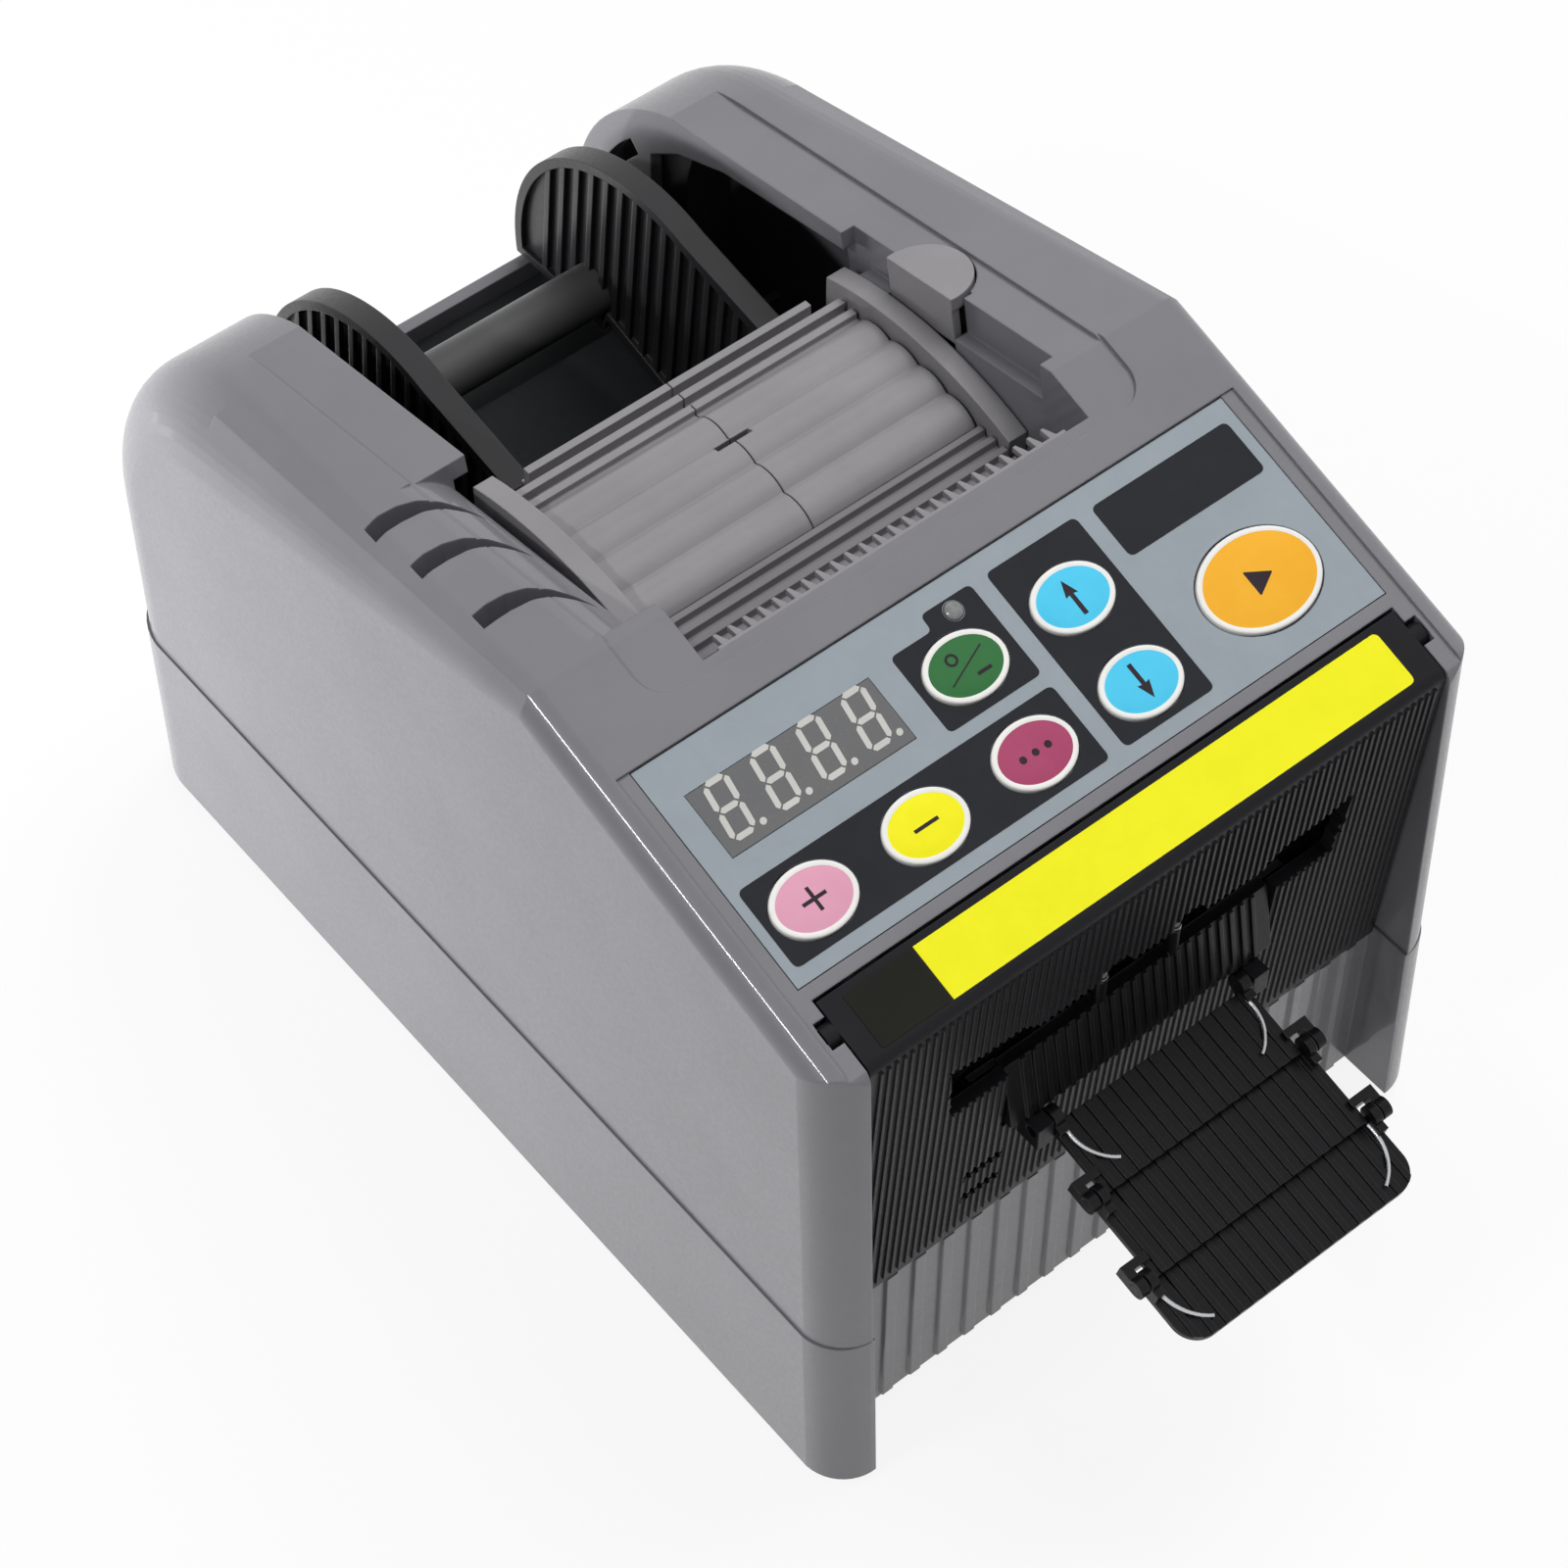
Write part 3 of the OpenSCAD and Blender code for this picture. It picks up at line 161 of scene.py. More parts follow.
# moulded polypropylene of the tray and outlet: deeper black, more gloss on the rims
trayLook = dict(name="mouldedPolypropyleneBlack", light="#131315", dark="#0e0e10", wornAndSheen="#3a3a3d",
                rough=0.34, grainMm=1.0, cloudMm=24, reliefMm=0.02, edgeMm=0.3, wearAndSheen=0.8,
                coat=0.05, coatRough=0.12, shine=0.14)
trayBlack = mouldedPlastic(trayLook)

# polished acetal of the outlet studs: wet black with pin-sharp lights
studLook = dict(name="polishedAcetalBlack", light="#101012", dark="#0b0b0d", wornAndSheen="#1c1c1f", rough=0.12,
                grainMm=1.0, cloudMm=12, reliefMm=0.002, edgeMm=0.1, wearAndSheen=0.3,
                coat=1.0, coatRough=0.04, shine=0.5)
capBlack = mouldedPlastic(studLook)
print("moulded plastics made")


# screen printed film: fine velvet grain, slightly uneven ink
# the velvet is near 0.15 mm and is drawn as coarse as grainMm so that it shows
def printedFilm(name, light, dark, rough, grainMm, coat):
    inkMm = 9
    material, tree, coords = startMaterial(name)
    velvet = add(tree, "TexVoronoi", {"Vector": coords, "Scale": 1 / (grainMm * mm)})
    ink = add(tree, "TexNoise", {"Vector": coords, "Scale": 1 / (inkMm * mm), "Detail": 6.0,
                                 "Roughness": 0.7})
    spread = add(tree, "MapRange", {"Value": ink.outputs["Fac"], "From Min": 0.3, "From Max": 0.7})
    colour = add(tree, "Mix", {0: spread.outputs[0], 6: linear(dark), 7: linear(light)}, data_type="RGBA")
    grain = add(tree, "MapRange", {"Value": velvet.outputs["Distance"], "To Min": rough - 0.05,
                                   "To Max": rough + 0.08})
    relief = add(tree, "Bump", {"Height": velvet.outputs["Distance"], "Strength": 0.3,
                                "Distance": 0.012 * mm})
    closeMaterial(tree, {"Base Color": colour.outputs[2], "Roughness": grain.outputs[0],
                         "Normal": relief.outputs[0], "IOR": 1.57, "Specular IOR Level": 0.13,
                         "Coat Weight": coat, "Coat Roughness": 0.25})
    return material


# polyester overlay, velvet side up: flat blue-grey that never glares
overlayFilm = printedFilm("velvetPolyesterBlueGrey", "#9aa3aa", "#949da4", rough=0.48, grainMm=0.5,
                          coat=0.0)
# charcoal ink of the printed fields: deep and dull, sets off the white rims
plateInk = printedFilm("screenInkCharcoal", "#242529", "#1f2024", rough=0.42, grainMm=0.5, coat=0.0)
# white ink of the key rims: chalky, the brightest tone on the panel
whiteInk = printedFilm("screenInkWhite", "#f4f3f0", "#ebeae6", rough=0.45, grainMm=0.5, coat=0.05)
# brown-black ink of the key marks: soft dark lines, not quite black
markInk = printedFilm("screenInkMark", "#332a31", "#2a2228", rough=0.5, grainMm=0.5, coat=0.0)
# calendered vinyl of the strip: strong lemon yellow with a weak sheen
yellowVinyl = printedFilm("vinylTapeYellow", "#f7f320", "#f0ec18", rough=0.4, grainMm=0.6, coat=0.1)
# calendered vinyl of the bare field: near black, a little olive
bareVinyl = printedFilm("vinylTapeBlack", "#17180f", "#12130c", rough=0.3, grainMm=0.6, coat=0.0)
# cast diffuser resin of the digits: pale and milky while unlit
segmentInk = printedFilm("diffuserResinPale", "#cdccc8", "#c3c2be", rough=0.5, grainMm=0.4, coat=0.1)

# printed polyester of the keys: clear flat colours under a thin gloss
keyTints = dict(
    plus=("keyFilmPink", "#e3a4bb", "#de9db5"), minus=("keyFilmYellow", "#f9f32a", "#f4ec18"),
    select=("keyFilmMagenta", "#aa4a6d", "#a44467"), mode=("keyFilmGreen", "#35703f", "#2f6839"),
    up=("keyFilmBlue", "#56cdf1", "#4cc6ec"), down=("keyFilmSkyBlue", "#56cdf1", "#4cc6ec"),
    start=("keyFilmOrange", "#f6b636", "#f1ad2a"))
keyFilms = {name: printedFilm(*tint, rough=0.42, grainMm=0.5, coat=0.08) for name, tint in keyTints.items()}
print("films and inks made")


# tinted cast acrylic of the window: smooth, with a soft cloud of the board behind it
def smokedAcrylic():
    look = dict(cloudMm=14, scuffMm=0.8, edgeMm=0.3, dark="#5c5d60", light="#696969")
    material, tree, coords = startMaterial("smokedAcrylic")
    cloud = add(tree, "TexNoise", {"Vector": coords, "Scale": 1 / (look["cloudMm"] * mm), "Detail": 3.0})
    colour = add(tree, "Mix", {0: cloud.outputs["Fac"], 6: linear(look["dark"]), 7: linear(look["light"])},
                 data_type="RGBA")
    scuff = add(tree, "TexNoise", {"Vector": coords, "Scale": 1 / (look["scuffMm"] * mm), "Detail": 4.0})
    rough = add(tree, "MapRange", {"Value": scuff.outputs["Fac"], "To Min": 0.16, "To Max": 0.34})
    rounded = add(tree, "Bevel", {"Radius": look["edgeMm"] * mm}, samples=6)
    closeMaterial(tree, {"Base Color": colour.outputs[2], "Roughness": rough.outputs[0],
                         "Normal": rounded.outputs[0], "IOR": 1.49, "Specular IOR Level": 0.25,
                         "Coat Weight": 0.2, "Coat Roughness": 0.08})
    return material


# clear cast epoxy over a silvered cup: bright, milky, sharp highlight
def epoxyLens():
    look = dict(hazeMm=1.2, dark="#5e5e5e", light="#8e8e8e")
    material, tree, coords = startMaterial("castEpoxyClear")
    haze = add(tree, "TexNoise", {"Vector": coords, "Scale": 1 / (look["hazeMm"] * mm), "Detail": 3.0})
    colour = add(tree, "Mix", {0: haze.outputs["Fac"], 6: linear(look["dark"]), 7: linear(look["light"])},
                 data_type="RGBA")
    rough = add(tree, "MapRange", {"Value": haze.outputs["Fac"], "To Min": 0.15, "To Max": 0.3})
    closeMaterial(tree, {"Base Color": colour.outputs[2], "Roughness": rough.outputs[0], "IOR": 1.5,
                         "Metallic": 0.2, "Coat Weight": 0.6, "Coat Roughness": 0.05})
    return material


# rolled, drawn or turned metal: long fine lines along x, faint blotches, brighter edges
# the lines are near 0.05 mm wide and are drawn as coarse as lineMm so that they show
def sheetMetal(look):
    blotchMm = 12
    edgeMm = 0.25
    material, tree, coords = startMaterial(look["name"])
    stretch = add(tree, "Mapping", {"Vector": coords,
                                    "Scale": tuple(1 / (size * mm) for size in look["lineMm"])})
    lines = add(tree, "TexNoise", {"Vector": stretch.outputs[0], "Scale": 1.0, "Detail": 3.0,
                                   "Roughness": 0.65})
    blotch = add(tree, "TexNoise", {"Vector": coords, "Scale": 1 / (blotchMm * mm), "Detail": 4.0})
    colour = add(tree, "Mix", {0: blotch.outputs["Fac"], 6: linear(look["dark"]), 7: linear(look["light"])},
                 data_type="RGBA")
    rough = add(tree, "MapRange", {"Value": lines.outputs["Fac"], "From Min": 0.3, "From Max": 0.7,
                                   "To Min": look["rough"] - 0.08, "To Max": look["rough"] + 0.1})
    rounded = add(tree, "Bevel", {"Radius": edgeMm * mm}, samples=4)
    relief = add(tree, "Bump", {"Height": lines.outputs["Fac"], "Strength": 0.2, "Distance": 0.01 * mm,
                                "Normal": rounded.outputs[0]})
    closeMaterial(tree, {"Base Color": colour.outputs[2], "Roughness": rough.outputs[0],
                         "Normal": relief.outputs[0], "Metallic": 1.0})
    return material


# ground steel of blades, shafts and wires: bright and cool, with streaked reflections
groundSteel = sheetMetal(dict(name="groundSteel", light="#c9cacc", dark="#b4b6b9", rough=0.28,
                              lineMm=(9, 0.4, 0.4)))
# zinc plated sheet of the plates and screws: silvery and a little cloudy
zincSteel = sheetMetal(dict(name="zincPlatedSteel", light="#bfc2c4", dark="#a6a9ac", rough=0.38,
                            lineMm=(6, 0.8, 0.8)))
# drawn steel of the motor cans: darker grey with long draw lines
motorCan = sheetMetal(dict(name="drawnSteelCan", light="#a3a6a8", dark="#8c8f92", rough=0.36,
                           lineMm=(12, 0.6, 0.6)))
# turned brass of the pinion: warm gold, glossy between its tool lines
turnedBrass = sheetMetal(dict(name="turnedBrass", light="#d8b25a", dark="#c09842", rough=0.3,
                              lineMm=(8, 0.4, 0.4)))


# ground nitrile rubber: matt, speckled with grinding dust
# the dust is near 0.1 mm and is drawn coarser so that it shows
def nitrileRubber():
    look = dict(speckMm=0.6, reliefMm=0.05, dark="#242426", light="#3c3c3d")
    material, tree, coords = startMaterial("groundNitrileRubber")
    speck = add(tree, "TexNoise", {"Vector": coords, "Scale": 1 / (look["speckMm"] * mm), "Detail": 5.0,
                                   "Roughness": 0.75})
    dust = add(tree, "MapRange", {"Value": speck.outputs["Fac"], "From Min": 0.45, "From Max": 0.75})
    colour = add(tree, "Mix", {0: dust.outputs[0], 6: linear(look["dark"]), 7: linear(look["light"])},
                 data_type="RGBA")
    rough = add(tree, "MapRange", {"Value": speck.outputs["Fac"], "To Min": 0.7, "To Max": 0.9})
    relief = add(tree, "Bump", {"Height": speck.outputs["Fac"], "Strength": 0.6,
                                "Distance": look["reliefMm"] * mm})
    closeMaterial(tree, {"Base Color": colour.outputs[2], "Roughness": rough.outputs[0],
                         "Normal": relief.outputs[0], "IOR": 1.52})
    return material


# moulded acetal of the gear: creamy white, waxy, a little light passes under the skin
def acetalWhite():
    look = dict(cloudMm=7, depthMm=1.5, edgeMm=0.2, dark="#dcdace", light="#ece9df")
    material, tree, coords = startMaterial("mouldedAcetalWhite")
    cloud = add(tree, "TexNoise", {"Vector": coords, "Scale": 1 / (look["cloudMm"] * mm), "Detail": 4.0})
    colour = add(tree, "Mix", {0: cloud.outputs["Fac"], 6: linear(look["dark"]), 7: linear(look["light"])},
                 data_type="RGBA")
    rough = add(tree, "MapRange", {"Value": cloud.outputs["Fac"], "To Min": 0.32, "To Max": 0.48})
    rounded = add(tree, "Bevel", {"Radius": look["edgeMm"] * mm}, samples=4)
    closeMaterial(tree, {"Base Color": colour.outputs[2], "Roughness": rough.outputs[0],
                         "Normal": rounded.outputs[0], "IOR": 1.48, "Subsurface Weight": 0.15,
                         "Subsurface Scale": look["depthMm"] * mm})
    return material


# glass epoxy board: green lacquer, copper tracks standing through it as lighter bands, tinned pads
def solderMask():
    look = dict(trackMm=0.5, longMm=11, rowMm=3.2, padMm=5, reliefMm=0.04)
    material, tree, coords = startMaterial("glassEpoxySolderMask")
    tracks = add(tree, "TexBrick", {"Vector": coords, "Scale": 1.0, "Mortar Size": look["trackMm"] * mm,
                                    "Brick Width": look["longMm"] * mm, "Row Height": look["rowMm"] * mm,
                                    "Color1": linear("#1f5a36"), "Color2": linear("#236340"),
                                    "Mortar": linear("#3f8a58")})
    pads = add(tree, "TexVoronoi", {"Vector": coords, "Scale": 1 / (look["padMm"] * mm)})
    ring = add(tree, "MapRange", {"Value": pads.outputs["Distance"], "From Min": 0.16, "From Max": 0.12})
    colour = add(tree, "Mix", {0: ring.outputs[0], 6: tracks.outputs["Color"], 7: linear("#b8bab4")},
                 data_type="RGBA")
    rough = add(tree, "MapRange", {"Value": pads.outputs["Distance"], "To Min": 0.3, "To Max": 0.42})
    relief = add(tree, "Bump", {"Height": tracks.outputs["Fac"], "Strength": 0.5,
                                "Distance": look["reliefMm"] * mm})
    closeMaterial(tree, {"Base Color": colour.outputs[2], "Roughness": rough.outputs[0],
                         "Normal": relief.outputs[0], "IOR": 1.55, "Coat Weight": 0.4,
                         "Coat Roughness": 0.15})
    return material


lensGrey = smokedAcrylic()
lampClear = epoxyLens()
rubber = nitrileRubber()
gearWhite = acetalWhite()
boardGreen = solderMask()
print("metals, rubber and board made")

# every CAD node takes one of these finishes
finishes = [
    (caseGrey, ["base_case", "upper_case"]),
    (innerGrey, ["comb_guard", "flange_left", "flange_right", "hood_left", "hood_right", "release_tab"]),
    (wellShadeGrey, ["well_liner"]),
    (rampShadeGrey, ["ramp"]),
    (rollerGrey, ["reel_roller"]),
    (blackAbs, ["front_cover", "dc_inlet", "switch_body", "rocker", "tape_sensor", "blade_carrier",
                "display_module", "key_switches"]),
    (guideBlack, ["reel_guide_left", "reel_guide_right"]),
    (trayBlack, ["outlet_guide", "tray_inner", "tray_middle", "tray_outer"]),
    (overlayFilm, ["panel_overlay"]),
    (lensGrey, ["display_lens"]),
    (lampClear, ["status_lamp"]),
    (boardGreen, ["control_board", "power_board"]),
    (zincSteel, ["side_plate_left", "side_plate_right", "motor_shelf", "blade_bar", "case_screws"]),
    (groundSteel, ["hood_rod", "fixed_blade", "moving_blade", "cutter_screw", "feed_shaft"]),
    (motorCan, ["feed_motor", "cutter_motor"]),
    (rubber, ["feed_tyres", "pinch_roller", "foot_front_left", "foot_front_right", "foot_rear_left",
              "foot_rear_right"]),
    (gearWhite, ["feed_gear"]),
    (turnedBrass, ["motor_pinion"]),
    (yellowVinyl, ["cover_strip"]),
]
finishes += [(film, ["key_" + name]) for name, film in keyFilms.items()]
for material, members in finishes:
    for member in members:
        nodes[member].data.materials.clear()
        nodes[member].data.materials.append(material)
print("CAD nodes dressed")


# solid piece from points in mm; picks gives each face one of the materials
def meshPiece(name, points, faces, materials, body, matrix=None, smoothDeg=35, picks=None):
    mesh = bpy.data.meshes.new(name)
    mesh.from_pydata([Vector(p) * mm for p in points], [], faces)
    for material in materials:
        mesh.materials.append(material)
    if picks:
        for face, pick in zip(mesh.polygons, picks):
            face.material_index = pick
    if matrix:
        mesh.transform(matrix)
    work = bmesh.new()
    work.from_mesh(mesh)
    bmesh.ops.recalc_face_normals(work, faces=work.faces)
    work.to_mesh(mesh)
    work.free()
    mesh.shade_smooth()
    mesh.set_sharp_from_angle(angle=math.radians(smoothDeg))
    piece = bpy.data.objects.new(name, mesh)
    scene.collection.objects.link(piece)
    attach(piece, body)
    return piece


# flat outlines in mm with a thickness; an outline inside another is a hole
def filmPiece(name, outlines, thick, matrix, material, body):
    curve = bpy.data.curves.new(name, "CURVE")
    curve.dimensions = "2D"
    curve.fill_mode = "BOTH"
    curve.extrude = thick / 2 * mm
    for outline in outlines:
        spline = curve.splines.new("POLY")
        spline.points.add(len(outline) - 1)
        for point, (x, y) in zip(spline.points, outline):
            point.co = (x * mm, y * mm, 0, 1)
        spline.use_cyclic_u = True
    holder = bpy.data.objects.new(name + "Curve", curve)
    scene.collection.objects.link(holder)
    bpy.context.view_layer.update()
    mesh = bpy.data.meshes.new_from_object(holder.evaluated_get(bpy.context.evaluated_depsgraph_get()))
    bpy.data.objects.remove(holder)
    bpy.data.curves.remove(curve)
    mesh.name = name
    mesh.materials.clear()
    mesh.materials.append(material)
    mesh.transform(matrix @ Matrix.Translation((0, 0, thick / 2 * mm)))
    piece = bpy.data.objects.new(name, mesh)
    scene.collection.objects.link(piece)
    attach(piece, body)
    return piece


def ovalLine(x, y, a, b, steps=72):
    return [(x + a * math.cos(i * math.tau / steps),
             y + b * math.sin(i * math.tau / steps)) for i in range(steps)]


def softLine(corners, radius, steps=5):  # polygon with rounded corners, steps + 1 points at each
    line = []
    for i, corner in enumerate(corners):
        here = Vector(corner)
        towards = [(Vector(corners[i - 1]) - here), (Vector(corners[(i + 1) % len(corners)]) - here)]
        start, end = [here + t.normalized() * min(radius, t.length / 2) for t in towards]
        for k in range(steps + 1):
            f = k / steps
            line.append(tuple(start * (1 - f) ** 2 + here * 2 * f * (1 - f) + end * f ** 2))
    return line


def softRect(x0, x1, y0, y1, radius):
    return softLine([(x0, y0), (x1, y0), (x1, y1), (x0, y1)], radius)


def bridgeRings(rings, around):  # four-cornered faces between rings of points that follow one another
    faces = []
    for ring in range(rings - 1):
        for i in range(around):
            j = (i + 1) % around
            faces.append((ring * around + i, ring * around + j,
                          (ring + 1) * around + j, (ring + 1) * around + i))
    return faces


def domeFaces(rings, around):  # rings closed by one point at the top and a flat foot
    last, tip = (rings - 1) * around, rings * around
    fan = [(last + i, last + (i + 1) % around, tip) for i in range(around)]
    return bridgeRings(rings, around) + fan + [tuple(range(around))]


def tubeFaces(rings, around):  # rings closed by a flat face at each end
    last = (rings - 1) * around
    return bridgeRings(rings, around) + [tuple(range(around)), tuple(range(last, last + around))]


# the overlay's upper face gives the panel's plane; s runs up the panel from the bend line
panel = dict(nearEdge=17.3, plateThick=0.06, keyGap=0.3, lampGap=0.15)
overlayMesh = nodes["panel_overlay"].data
panelNormal = max((face for face in overlayMesh.polygons if face.normal.z > 0.5),
                  key=lambda face: face.area).normal.copy()
panelUp = Vector((0, panelNormal.z, -panelNormal.y)).normalized()
panelTop = max(v.co.dot(panelNormal) for v in overlayMesh.vertices)
panelNear = min(v.co.dot(panelUp) for v in overlayMesh.vertices)
panelOrigin = panelNormal * panelTop + panelUp * (panelNear - panel["nearEdge"] * mm)
panelMatrix = Matrix.Translation(panelOrigin) @ Matrix((
    (1, 0, 0), (0, panelUp.y, panelNormal.y), (0, panelUp.z, panelNormal.z))).to_4x4()
toPanel = panelMatrix.inverted()


def panelBox(name):  # where a CAD node lies on the panel: x0, x1, s0, s1 in mm
    flat = [toPanel @ v.co / mm for v in nodes[name].data.vertices]
    return [round(pick(p[axis] for p in flat), 3) for axis in (0, 1) for pick in (min, max)]


def panelMiddle(name):
    x0, x1, s0, s1 = panelBox(name)
    return round((x0 + x1) / 2, 2), round((s0 + s1) / 2, 2)


# half sizes of the oval keys; their places come from the frame
keySizes = dict(plus=(7.8, 6.0), minus=(7.8, 6.0), select=(7.8, 6.0), mode=(7.8, 6.0), up=(7.8, 6.0),
                down=(7.8, 6.0), start=(11.8, 8.9))
keyPlaces = {name: panelMiddle("key_" + name) for name in keySizes}
lamp = dict(at=panelMiddle("status_lamp"), radius=1.75, rise=0.9, rings=6, around=32, smoothDeg=60)

# printed charcoal fields behind the keys, open where a key or the lamp comes through
plates = dict(
    lower=dict(line=softRect(-60.2, 4.1, 20, 35.2, 1.3), keys=("plus", "minus", "select")),
    mode=dict(line=softLine([(-15.1, 37.6), (4.1, 37.6), (4.1, 56.4), (-6.3, 56.4), (-6.3, 53.2),
                             (-15.1, 53.2)], 1.2), keys=("mode",)),
    arrows=dict(line=softRect(7.4, 26.6, 20, 56.4, 1.3), keys=("up", "down")),
    bare=dict(line=softRect(29.9, 59.8, 45.6, 56.2, 1.3), keys=()))
for name, plate in plates.items():
    holes = [ovalLine(*keyPlaces[key], *(half + panel["keyGap"] for half in keySizes[key]))
             for key in plate["keys"]]
    if name == "mode":
        lampHole = lamp["radius"] + panel["lampGap"]
        holes.append(ovalLine(*lamp["at"], lampHole, lampHole, lamp["around"]))
    filmPiece("plate_" + name, [plate["line"]] + holes, panel["plateThick"], panelMatrix, plateInk,
              "case")
print("panel fields laid")

# oval key caps: white rolled rim, coloured film set in it, mark printed on top
# rim and film are pairs of inset from the outline and height, from the foot inwards
cap = dict(rim=[(0, -0.7), (0, 0.22), (0.06, 0.36), (0.2, 0.47), (0.42, 0.52), (0.8, 0.5), (1.0, 0.44)],
           film=[(1.16, 0.43), (1.5, 0.5)], swellAt=0.55, swell=0.56, top=0.6, steps=72, smoothDeg=50,
           markThick=0.03)
dot = dict(radius=0.65, pitch=2.6, steps=24)
marks = dict(
    plus=[[(-0.32, -2.2), (0.32, -2.2), (0.32, -0.32), (2.3, -0.32), (2.3, 0.32), (0.32, 0.32), (0.32, 2.2),
           (-0.32, 2.2), (-0.32, 0.32), (-2.3, 0.32), (-2.3, -0.32), (-0.32, -0.32)]],
    minus=[softRect(-2.4, 2.4, -0.32, 0.32, 0.1)],
    select=[ovalLine(n * dot["pitch"], 0, dot["radius"], dot["radius"], dot["steps"]) for n in (-1, 0, 1)],
    mode=[[(-4.3, -1.75), (-4.1, -1.95), (4.4, 1.65), (4.2, 1.85)], ovalLine(-1.5, 2.0, 1.15, 1.15, 28),
          ovalLine(-1.5, 2.0, 0.72, 0.72, 28), softRect(0.7, 3.5, -2.5, -1.9, 0.1)],
    up=[[(-0.42, -3.5), (0.42, -3.5), (0.42, 0.5), (1.25, 0.3), (0, 3.3), (-1.25, 0.3), (-0.42, 0.5)]],
    down=[[(0.42, 3.5), (-0.42, 3.5), (-0.42, -0.5), (-1.25, -0.3), (0, -3.3), (1.25, -0.3), (0.42, -0.5)]],
    start=[softLine([(-1.9, -2.5), (2.7, 0), (-1.9, 2.5)], 0.4)])
for name, (a, b) in keySizes.items():
    x, s = keyPlaces[name]
    profile = cap["rim"] + cap["film"] + [(b * cap["swellAt"], cap["swell"])]
    points = [(*point, height) for inset, height in profile
              for point in ovalLine(x, s, a - inset, b - inset, cap["steps"])]
    points.append((x, s, cap["top"]))
    faces = domeFaces(len(profile), cap["steps"])
    rimFaces = (len(cap["rim"]) - 1) * cap["steps"]
    picks = [0] * rimFaces + [1] * (len(faces) - rimFaces - 1) + [0]  # the last face is the foot
    piece = meshPiece("cap_" + name, points, faces, [whiteInk, keyFilms[name]], name,
                      panelMatrix, cap["smoothDeg"], picks)
    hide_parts("key_" + name)
    lifted = panelMatrix @ Matrix.Translation((x * mm, s * mm, cap["top"] * mm))
    filmPiece("mark_" + name, marks[name], cap["markThick"], lifted, markInk, name)
print("keys capped")

# four seven-segment digits behind the window, all segments unlit and pale
digits = dict(count=4, margin=(1.6, 2.2), wide=5.0, tall=9.8, inset=0.5, stroke=1.05, gap=0.22, pitch=9.2,
              slantDeg=8, dot=0.62, dotAside=1.2, dotUp=0.1, dotSteps=24, thick=0.04)


def segmentLine(start, end):  # one bar of a digit, pointed at both ends
    a, b = Vector(start), Vector(end)
    along = (b - a).normalized()
    a, b = a + along * digits["gap"], b - along * digits["gap"]
    side = Vector((-along.y, along.x)) * digits["stroke"] / 2
    nose = along * digits["stroke"] / 2
    return [tuple(p) for p in (a, a + nose - side, b - nose - side, b, b - nose + side, a + nose + side)]


lensBox = panelBox("display_lens")
first, foot = lensBox[0] + digits["margin"][0], lensBox[2] + digits["margin"][1]
lean = math.tan(math.radians(digits["slantDeg"]))
left, right = digits["inset"], digits["wide"] - digits["inset"]
low, middle, high = 0.0, digits["tall"] / 2, digits["tall"]
strokes = [((left, low), (right, low)), ((left, middle), (right, middle)), ((left, high), (right, high)),
           ((left, low), (left, middle)), ((left, middle), (left, high)),
           ((right, low), (right, middle)), ((right, middle), (right, high))]
shapes = [segmentLine(start, end) for start, end in strokes]
shapes.append(ovalLine(digits["wide"] + digits["dotAside"], digits["dotUp"], digits["dot"], digits["dot"],
                       digits["dotSteps"]))
segments = [[(first + i * digits["pitch"] + x + y * lean, foot + y) for x, y in shape]
            for i in range(digits["count"]) for shape in shapes]
filmPiece("display_digits", segments, digits["thick"], panelMatrix, segmentInk, "case")
print("digits set")

# status lamp: low dome of clear epoxy in the charcoal tab
points = []
for k in range(lamp["rings"]):
    turn = k / lamp["rings"] * math.pi / 2
    wide, rise = lamp["radius"] * math.cos(turn), lamp["rise"] * math.sin(turn)
    points += [(*point, rise) for point in ovalLine(*lamp["at"], wide, wide, lamp["around"])]
points.append((*lamp["at"], lamp["rise"]))
meshPiece("lamp_dome", points, domeFaces(lamp["rings"], lamp["around"]), [lampClear], "case",
          panelMatrix, lamp["smoothDeg"])

# yellow strip, rounded at its right end, and the bare black field left of it, both on the swinging cover
strip = dict(lap=0.2, thick=0.16, round=1.2, arc=6, bareFrom=-57, bareGap=0.6, bareThick=0.1, bareRound=0.5)
x0, x1, s0, s1 = panelBox("cover_strip")
x1, s0, s1 = x1 + strip["lap"], s0 - strip["lap"], s1 + strip["lap"]
rightEnd = softRect(x0, x1, s0, s1, strip["round"])[strip["arc"]:3 * strip["arc"]]  # its two corner arcs
stripPiece = filmPiece("strip_yellow", [[(x0, s0)] + rightEnd + [(x0, s1)]], strip["thick"], panelMatrix,
                       yellowVinyl, "cover")
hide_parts("cover_strip")
bareLine = softRect(strip["bareFrom"], x0 - strip["bareGap"], s0, s1, strip["bareRound"])
filmPiece("strip_bare", [bareLine], strip["bareThick"], panelMatrix, bareVinyl, "cover")
print("lamp and strip set")

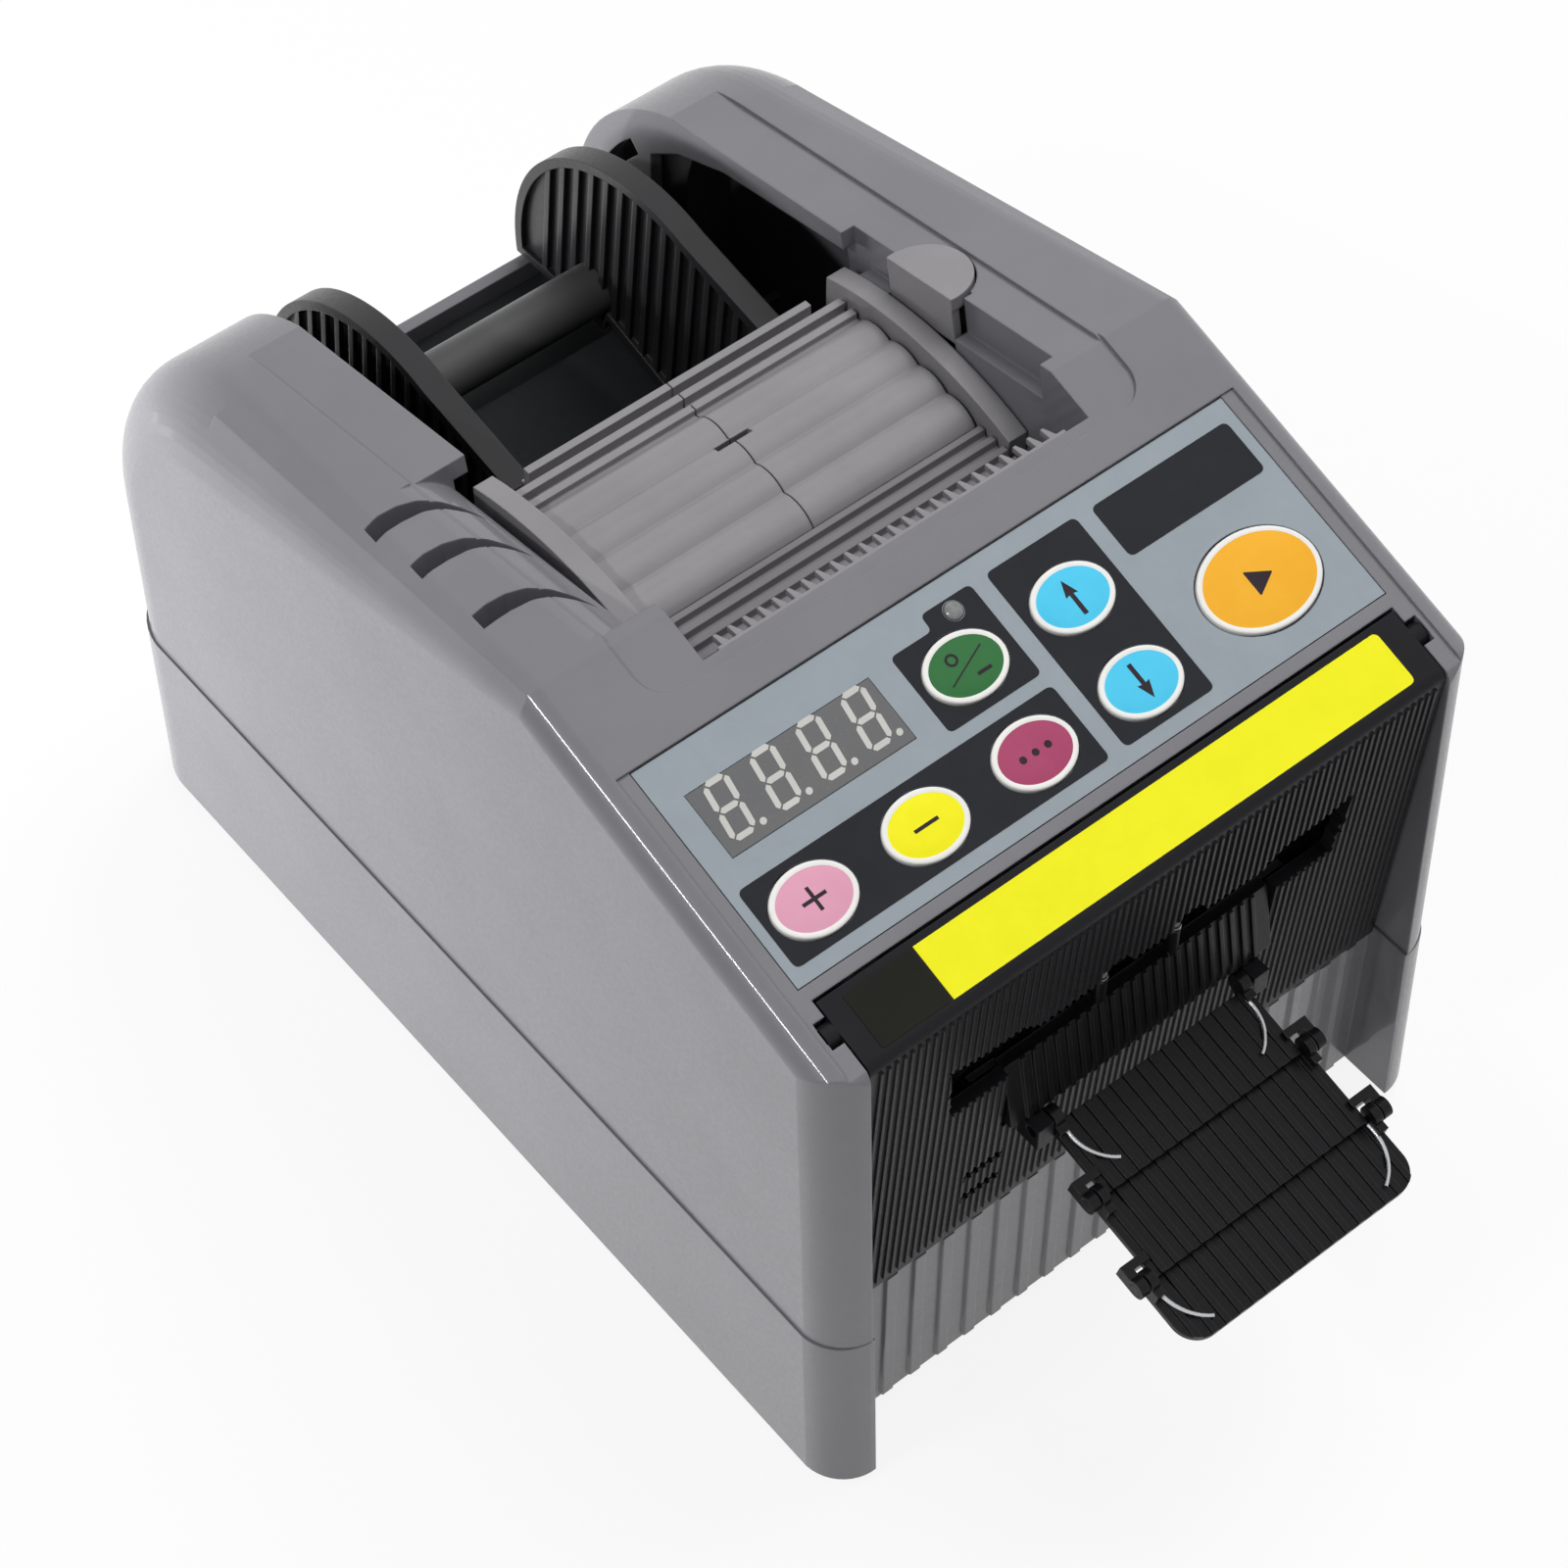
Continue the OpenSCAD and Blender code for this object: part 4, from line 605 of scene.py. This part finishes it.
# curved lips on the tray: thin bent wires that keep the tape from sliding off sideways
tray = dict(tiltDeg=13.6, lipRadius=0.42, around=10, steps=12, startDeg=-8, sweepDeg=68, inset=1.6)
tilt = math.radians(tray["tiltDeg"])
outward = Vector((0, -math.cos(tilt), -math.sin(tilt)))
upward = Vector((0, -math.sin(tilt), math.cos(tilt)))
lips = dict(
    tray_a=dict(joint="tray_root_hinge", half=22.0, top=-0.95, reach=13.0, bend=9.0),
    tray_c=dict(joint="tray_tip_hinge", half=26.0, top=-1.9, reach=12.0, bend=10.0))
wireSide = Vector((0.3, 0.2, 1))  # not along any wire, so it fixes each ring's turn
for body, lip in lips.items():
    root = Vector(joints[lip["joint"]]["pos_m"]) / mm
    for end, sign in (("_left", -1), ("_right", 1)):
        line = []
        for k in range(tray["steps"] + 1):
            turn = math.radians(tray["startDeg"] + tray["sweepDeg"] * k / tray["steps"])
            x = sign * (lip["half"] - tray["inset"] - lip["bend"] * (1 - math.cos(turn)))
            out = lip["reach"] - lip["bend"] * (1 - math.sin(turn))
            line.append(Vector((x, root.y, root.z)) + outward * out + upward * lip["top"])
        points = []
        for i, point in enumerate(line):
            along = (line[min(i + 1, len(line) - 1)] - line[max(i - 1, 0)]).normalized()
            side = along.cross(wireSide).normalized()
            over = side.cross(along)
            points += [point + side * x + over * y
                       for x, y in ovalLine(0, 0, tray["lipRadius"], tray["lipRadius"], tray["around"])]
        meshPiece("lip_" + body + end, points, tubeFaces(len(line), tray["around"]), [groundSteel], body)
print("tray lips laid")

# polished caps on the two studs in the outlet; the studs are the outlet guide's highest points
stud = dict(radius=1.42, sink=0.8, topBand=0.05, rings=8, around=24, smoothDeg=60)
guidePoints = [v.co / mm for v in nodes["outlet_guide"].data.vertices]
guideTop = max(p.z for p in guidePoints)
studTop = [p for p in guidePoints if p.z > guideTop - stud["topBand"] and p.x > 0]
studX, studY = [round((min(p[axis] for p in studTop) + max(p[axis] for p in studTop)) / 2, 3)
                for axis in (0, 1)]
for end, sign in (("_left", -1), ("_right", 1)):
    points = []
    for k in range(1, stud["rings"]):
        turn = math.pi * k / stud["rings"]
        wide = stud["radius"] * math.sin(turn)
        height = guideTop - stud["sink"] + stud["radius"] * math.cos(turn)
        points += [(*point, height) for point in ovalLine(sign * studX, studY, wide, wide, stud["around"])]
    meshPiece("stud_cap" + end, points, tubeFaces(stud["rings"] - 1, stud["around"]), [capBlack], "cover",
              None, stud["smoothDeg"])
print("stud caps set")


def shownRays(tree):  # 1 for rays that go to the eye, straight or by way of metal or glass
    seen = add(tree, "LightPath", {})
    either = add(tree, "Math", {0: seen.outputs["Is Camera Ray"], 1: seen.outputs["Is Glossy Ray"]},
                 operation="MAXIMUM")
    every = add(tree, "Math", {0: either.outputs[0], 1: seen.outputs["Is Transmission Ray"]},
                operation="MAXIMUM")
    return every.outputs[0]


# floor of seamless paper: even, matt, bright to the eye, and it keeps the object's shadow
stage = dict(floorSize=6.0, floorTone="#f4f4f3", white="#ffffff", glow=0.88, skyLight=0.2)
half = stage["floorSize"] / 2
floorMesh = bpy.data.meshes.new("floor")
floorMesh.from_pydata([(-half, -half, 0), (half, -half, 0), (half, half, 0), (-half, half, 0)], [],
                      [(0, 1, 2, 3)])
floor = bpy.data.objects.new("floor", floorMesh)
scene.collection.objects.link(floor)
floorPaper = bpy.data.materials.new("paperSweepWhite")
tree = emptyTree(floorPaper)
amount = add(tree, "Math", {0: shownRays(tree), 1: stage["glow"]}, operation="MULTIPLY")
matt = add(tree, "BsdfDiffuse", {"Color": linear(stage["floorTone"])})
bright = add(tree, "Emission", {"Color": linear(stage["white"]), "Strength": 1.0})
paper = add(tree, "MixShader", {0: amount.outputs[0], 1: matt.outputs[0], 2: bright.outputs[0]})
add(tree, "OutputMaterial", {"Surface": paper.outputs[0]})
floorMesh.materials.append(floorPaper)

# world: white to the eye, a weaker even light on the object
world = bpy.data.worlds.new("studio")
scene.world = world
tree = emptyTree(world)
level = add(tree, "MapRange", {"Value": shownRays(tree), "To Min": stage["skyLight"], "To Max": 1.0})
sky = add(tree, "Background", {"Color": linear(stage["white"]), "Strength": level.outputs[0]})
add(tree, "OutputWorld", {"Surface": sky.outputs[0]})

# only the mirrored lamp draws a highlight
lamps = dict(
    key=dict(at=(-0.75, -0.02, 0.88), to=(-0.06, -0.03, 0.13), size=(0.28, 0.035), watts=3.0,
             mirrored=True),
    side=dict(at=(-0.26, 0.32, 0.025), to=(-0.07, 0.05, 0.07), size=(0.25, 0.04), watts=1.85,
              mirrored=False),
    top=dict(at=(0.6, 0.12, 1.3), to=(0, 0, 0.1), size=(1.0, 1.0), watts=15.5, mirrored=False))
for name, lampSet in lamps.items():
    light = bpy.data.lights.new(name, "AREA")
    light.shape = "RECTANGLE"
    light.size, light.size_y = lampSet["size"]
    light.energy = lampSet["watts"]
    holder = bpy.data.objects.new(name, light)
    holder.location = lampSet["at"]
    aim = Vector(lampSet["to"]) - Vector(lampSet["at"])
    holder.rotation_euler = aim.to_track_quat("-Z", "Y").to_euler()
    holder.visible_camera = False
    holder.visible_glossy = lampSet["mirrored"]
    scene.collection.objects.link(holder)

# camera fitted to the panel, its keys and the case edges
view = dict(at=(-0.29658, -0.348968, 0.66171), turnDeg=(37.943, 0.152, -39.057), lens=97.784, sensor=36,
            shift=(0.01539, -0.03675))
cameraData = bpy.data.cameras.new("photoView")
cameraData.sensor_width = view["sensor"]
cameraData.lens = view["lens"]
cameraData.shift_x, cameraData.shift_y = view["shift"]
camera = bpy.data.objects.new("photoView", cameraData)
camera.location = view["at"]
camera.rotation_euler = [math.radians(angle) for angle in view["turnDeg"]]
scene.collection.objects.link(camera)
scene.camera = camera
print("stage, lamps and camera placed")
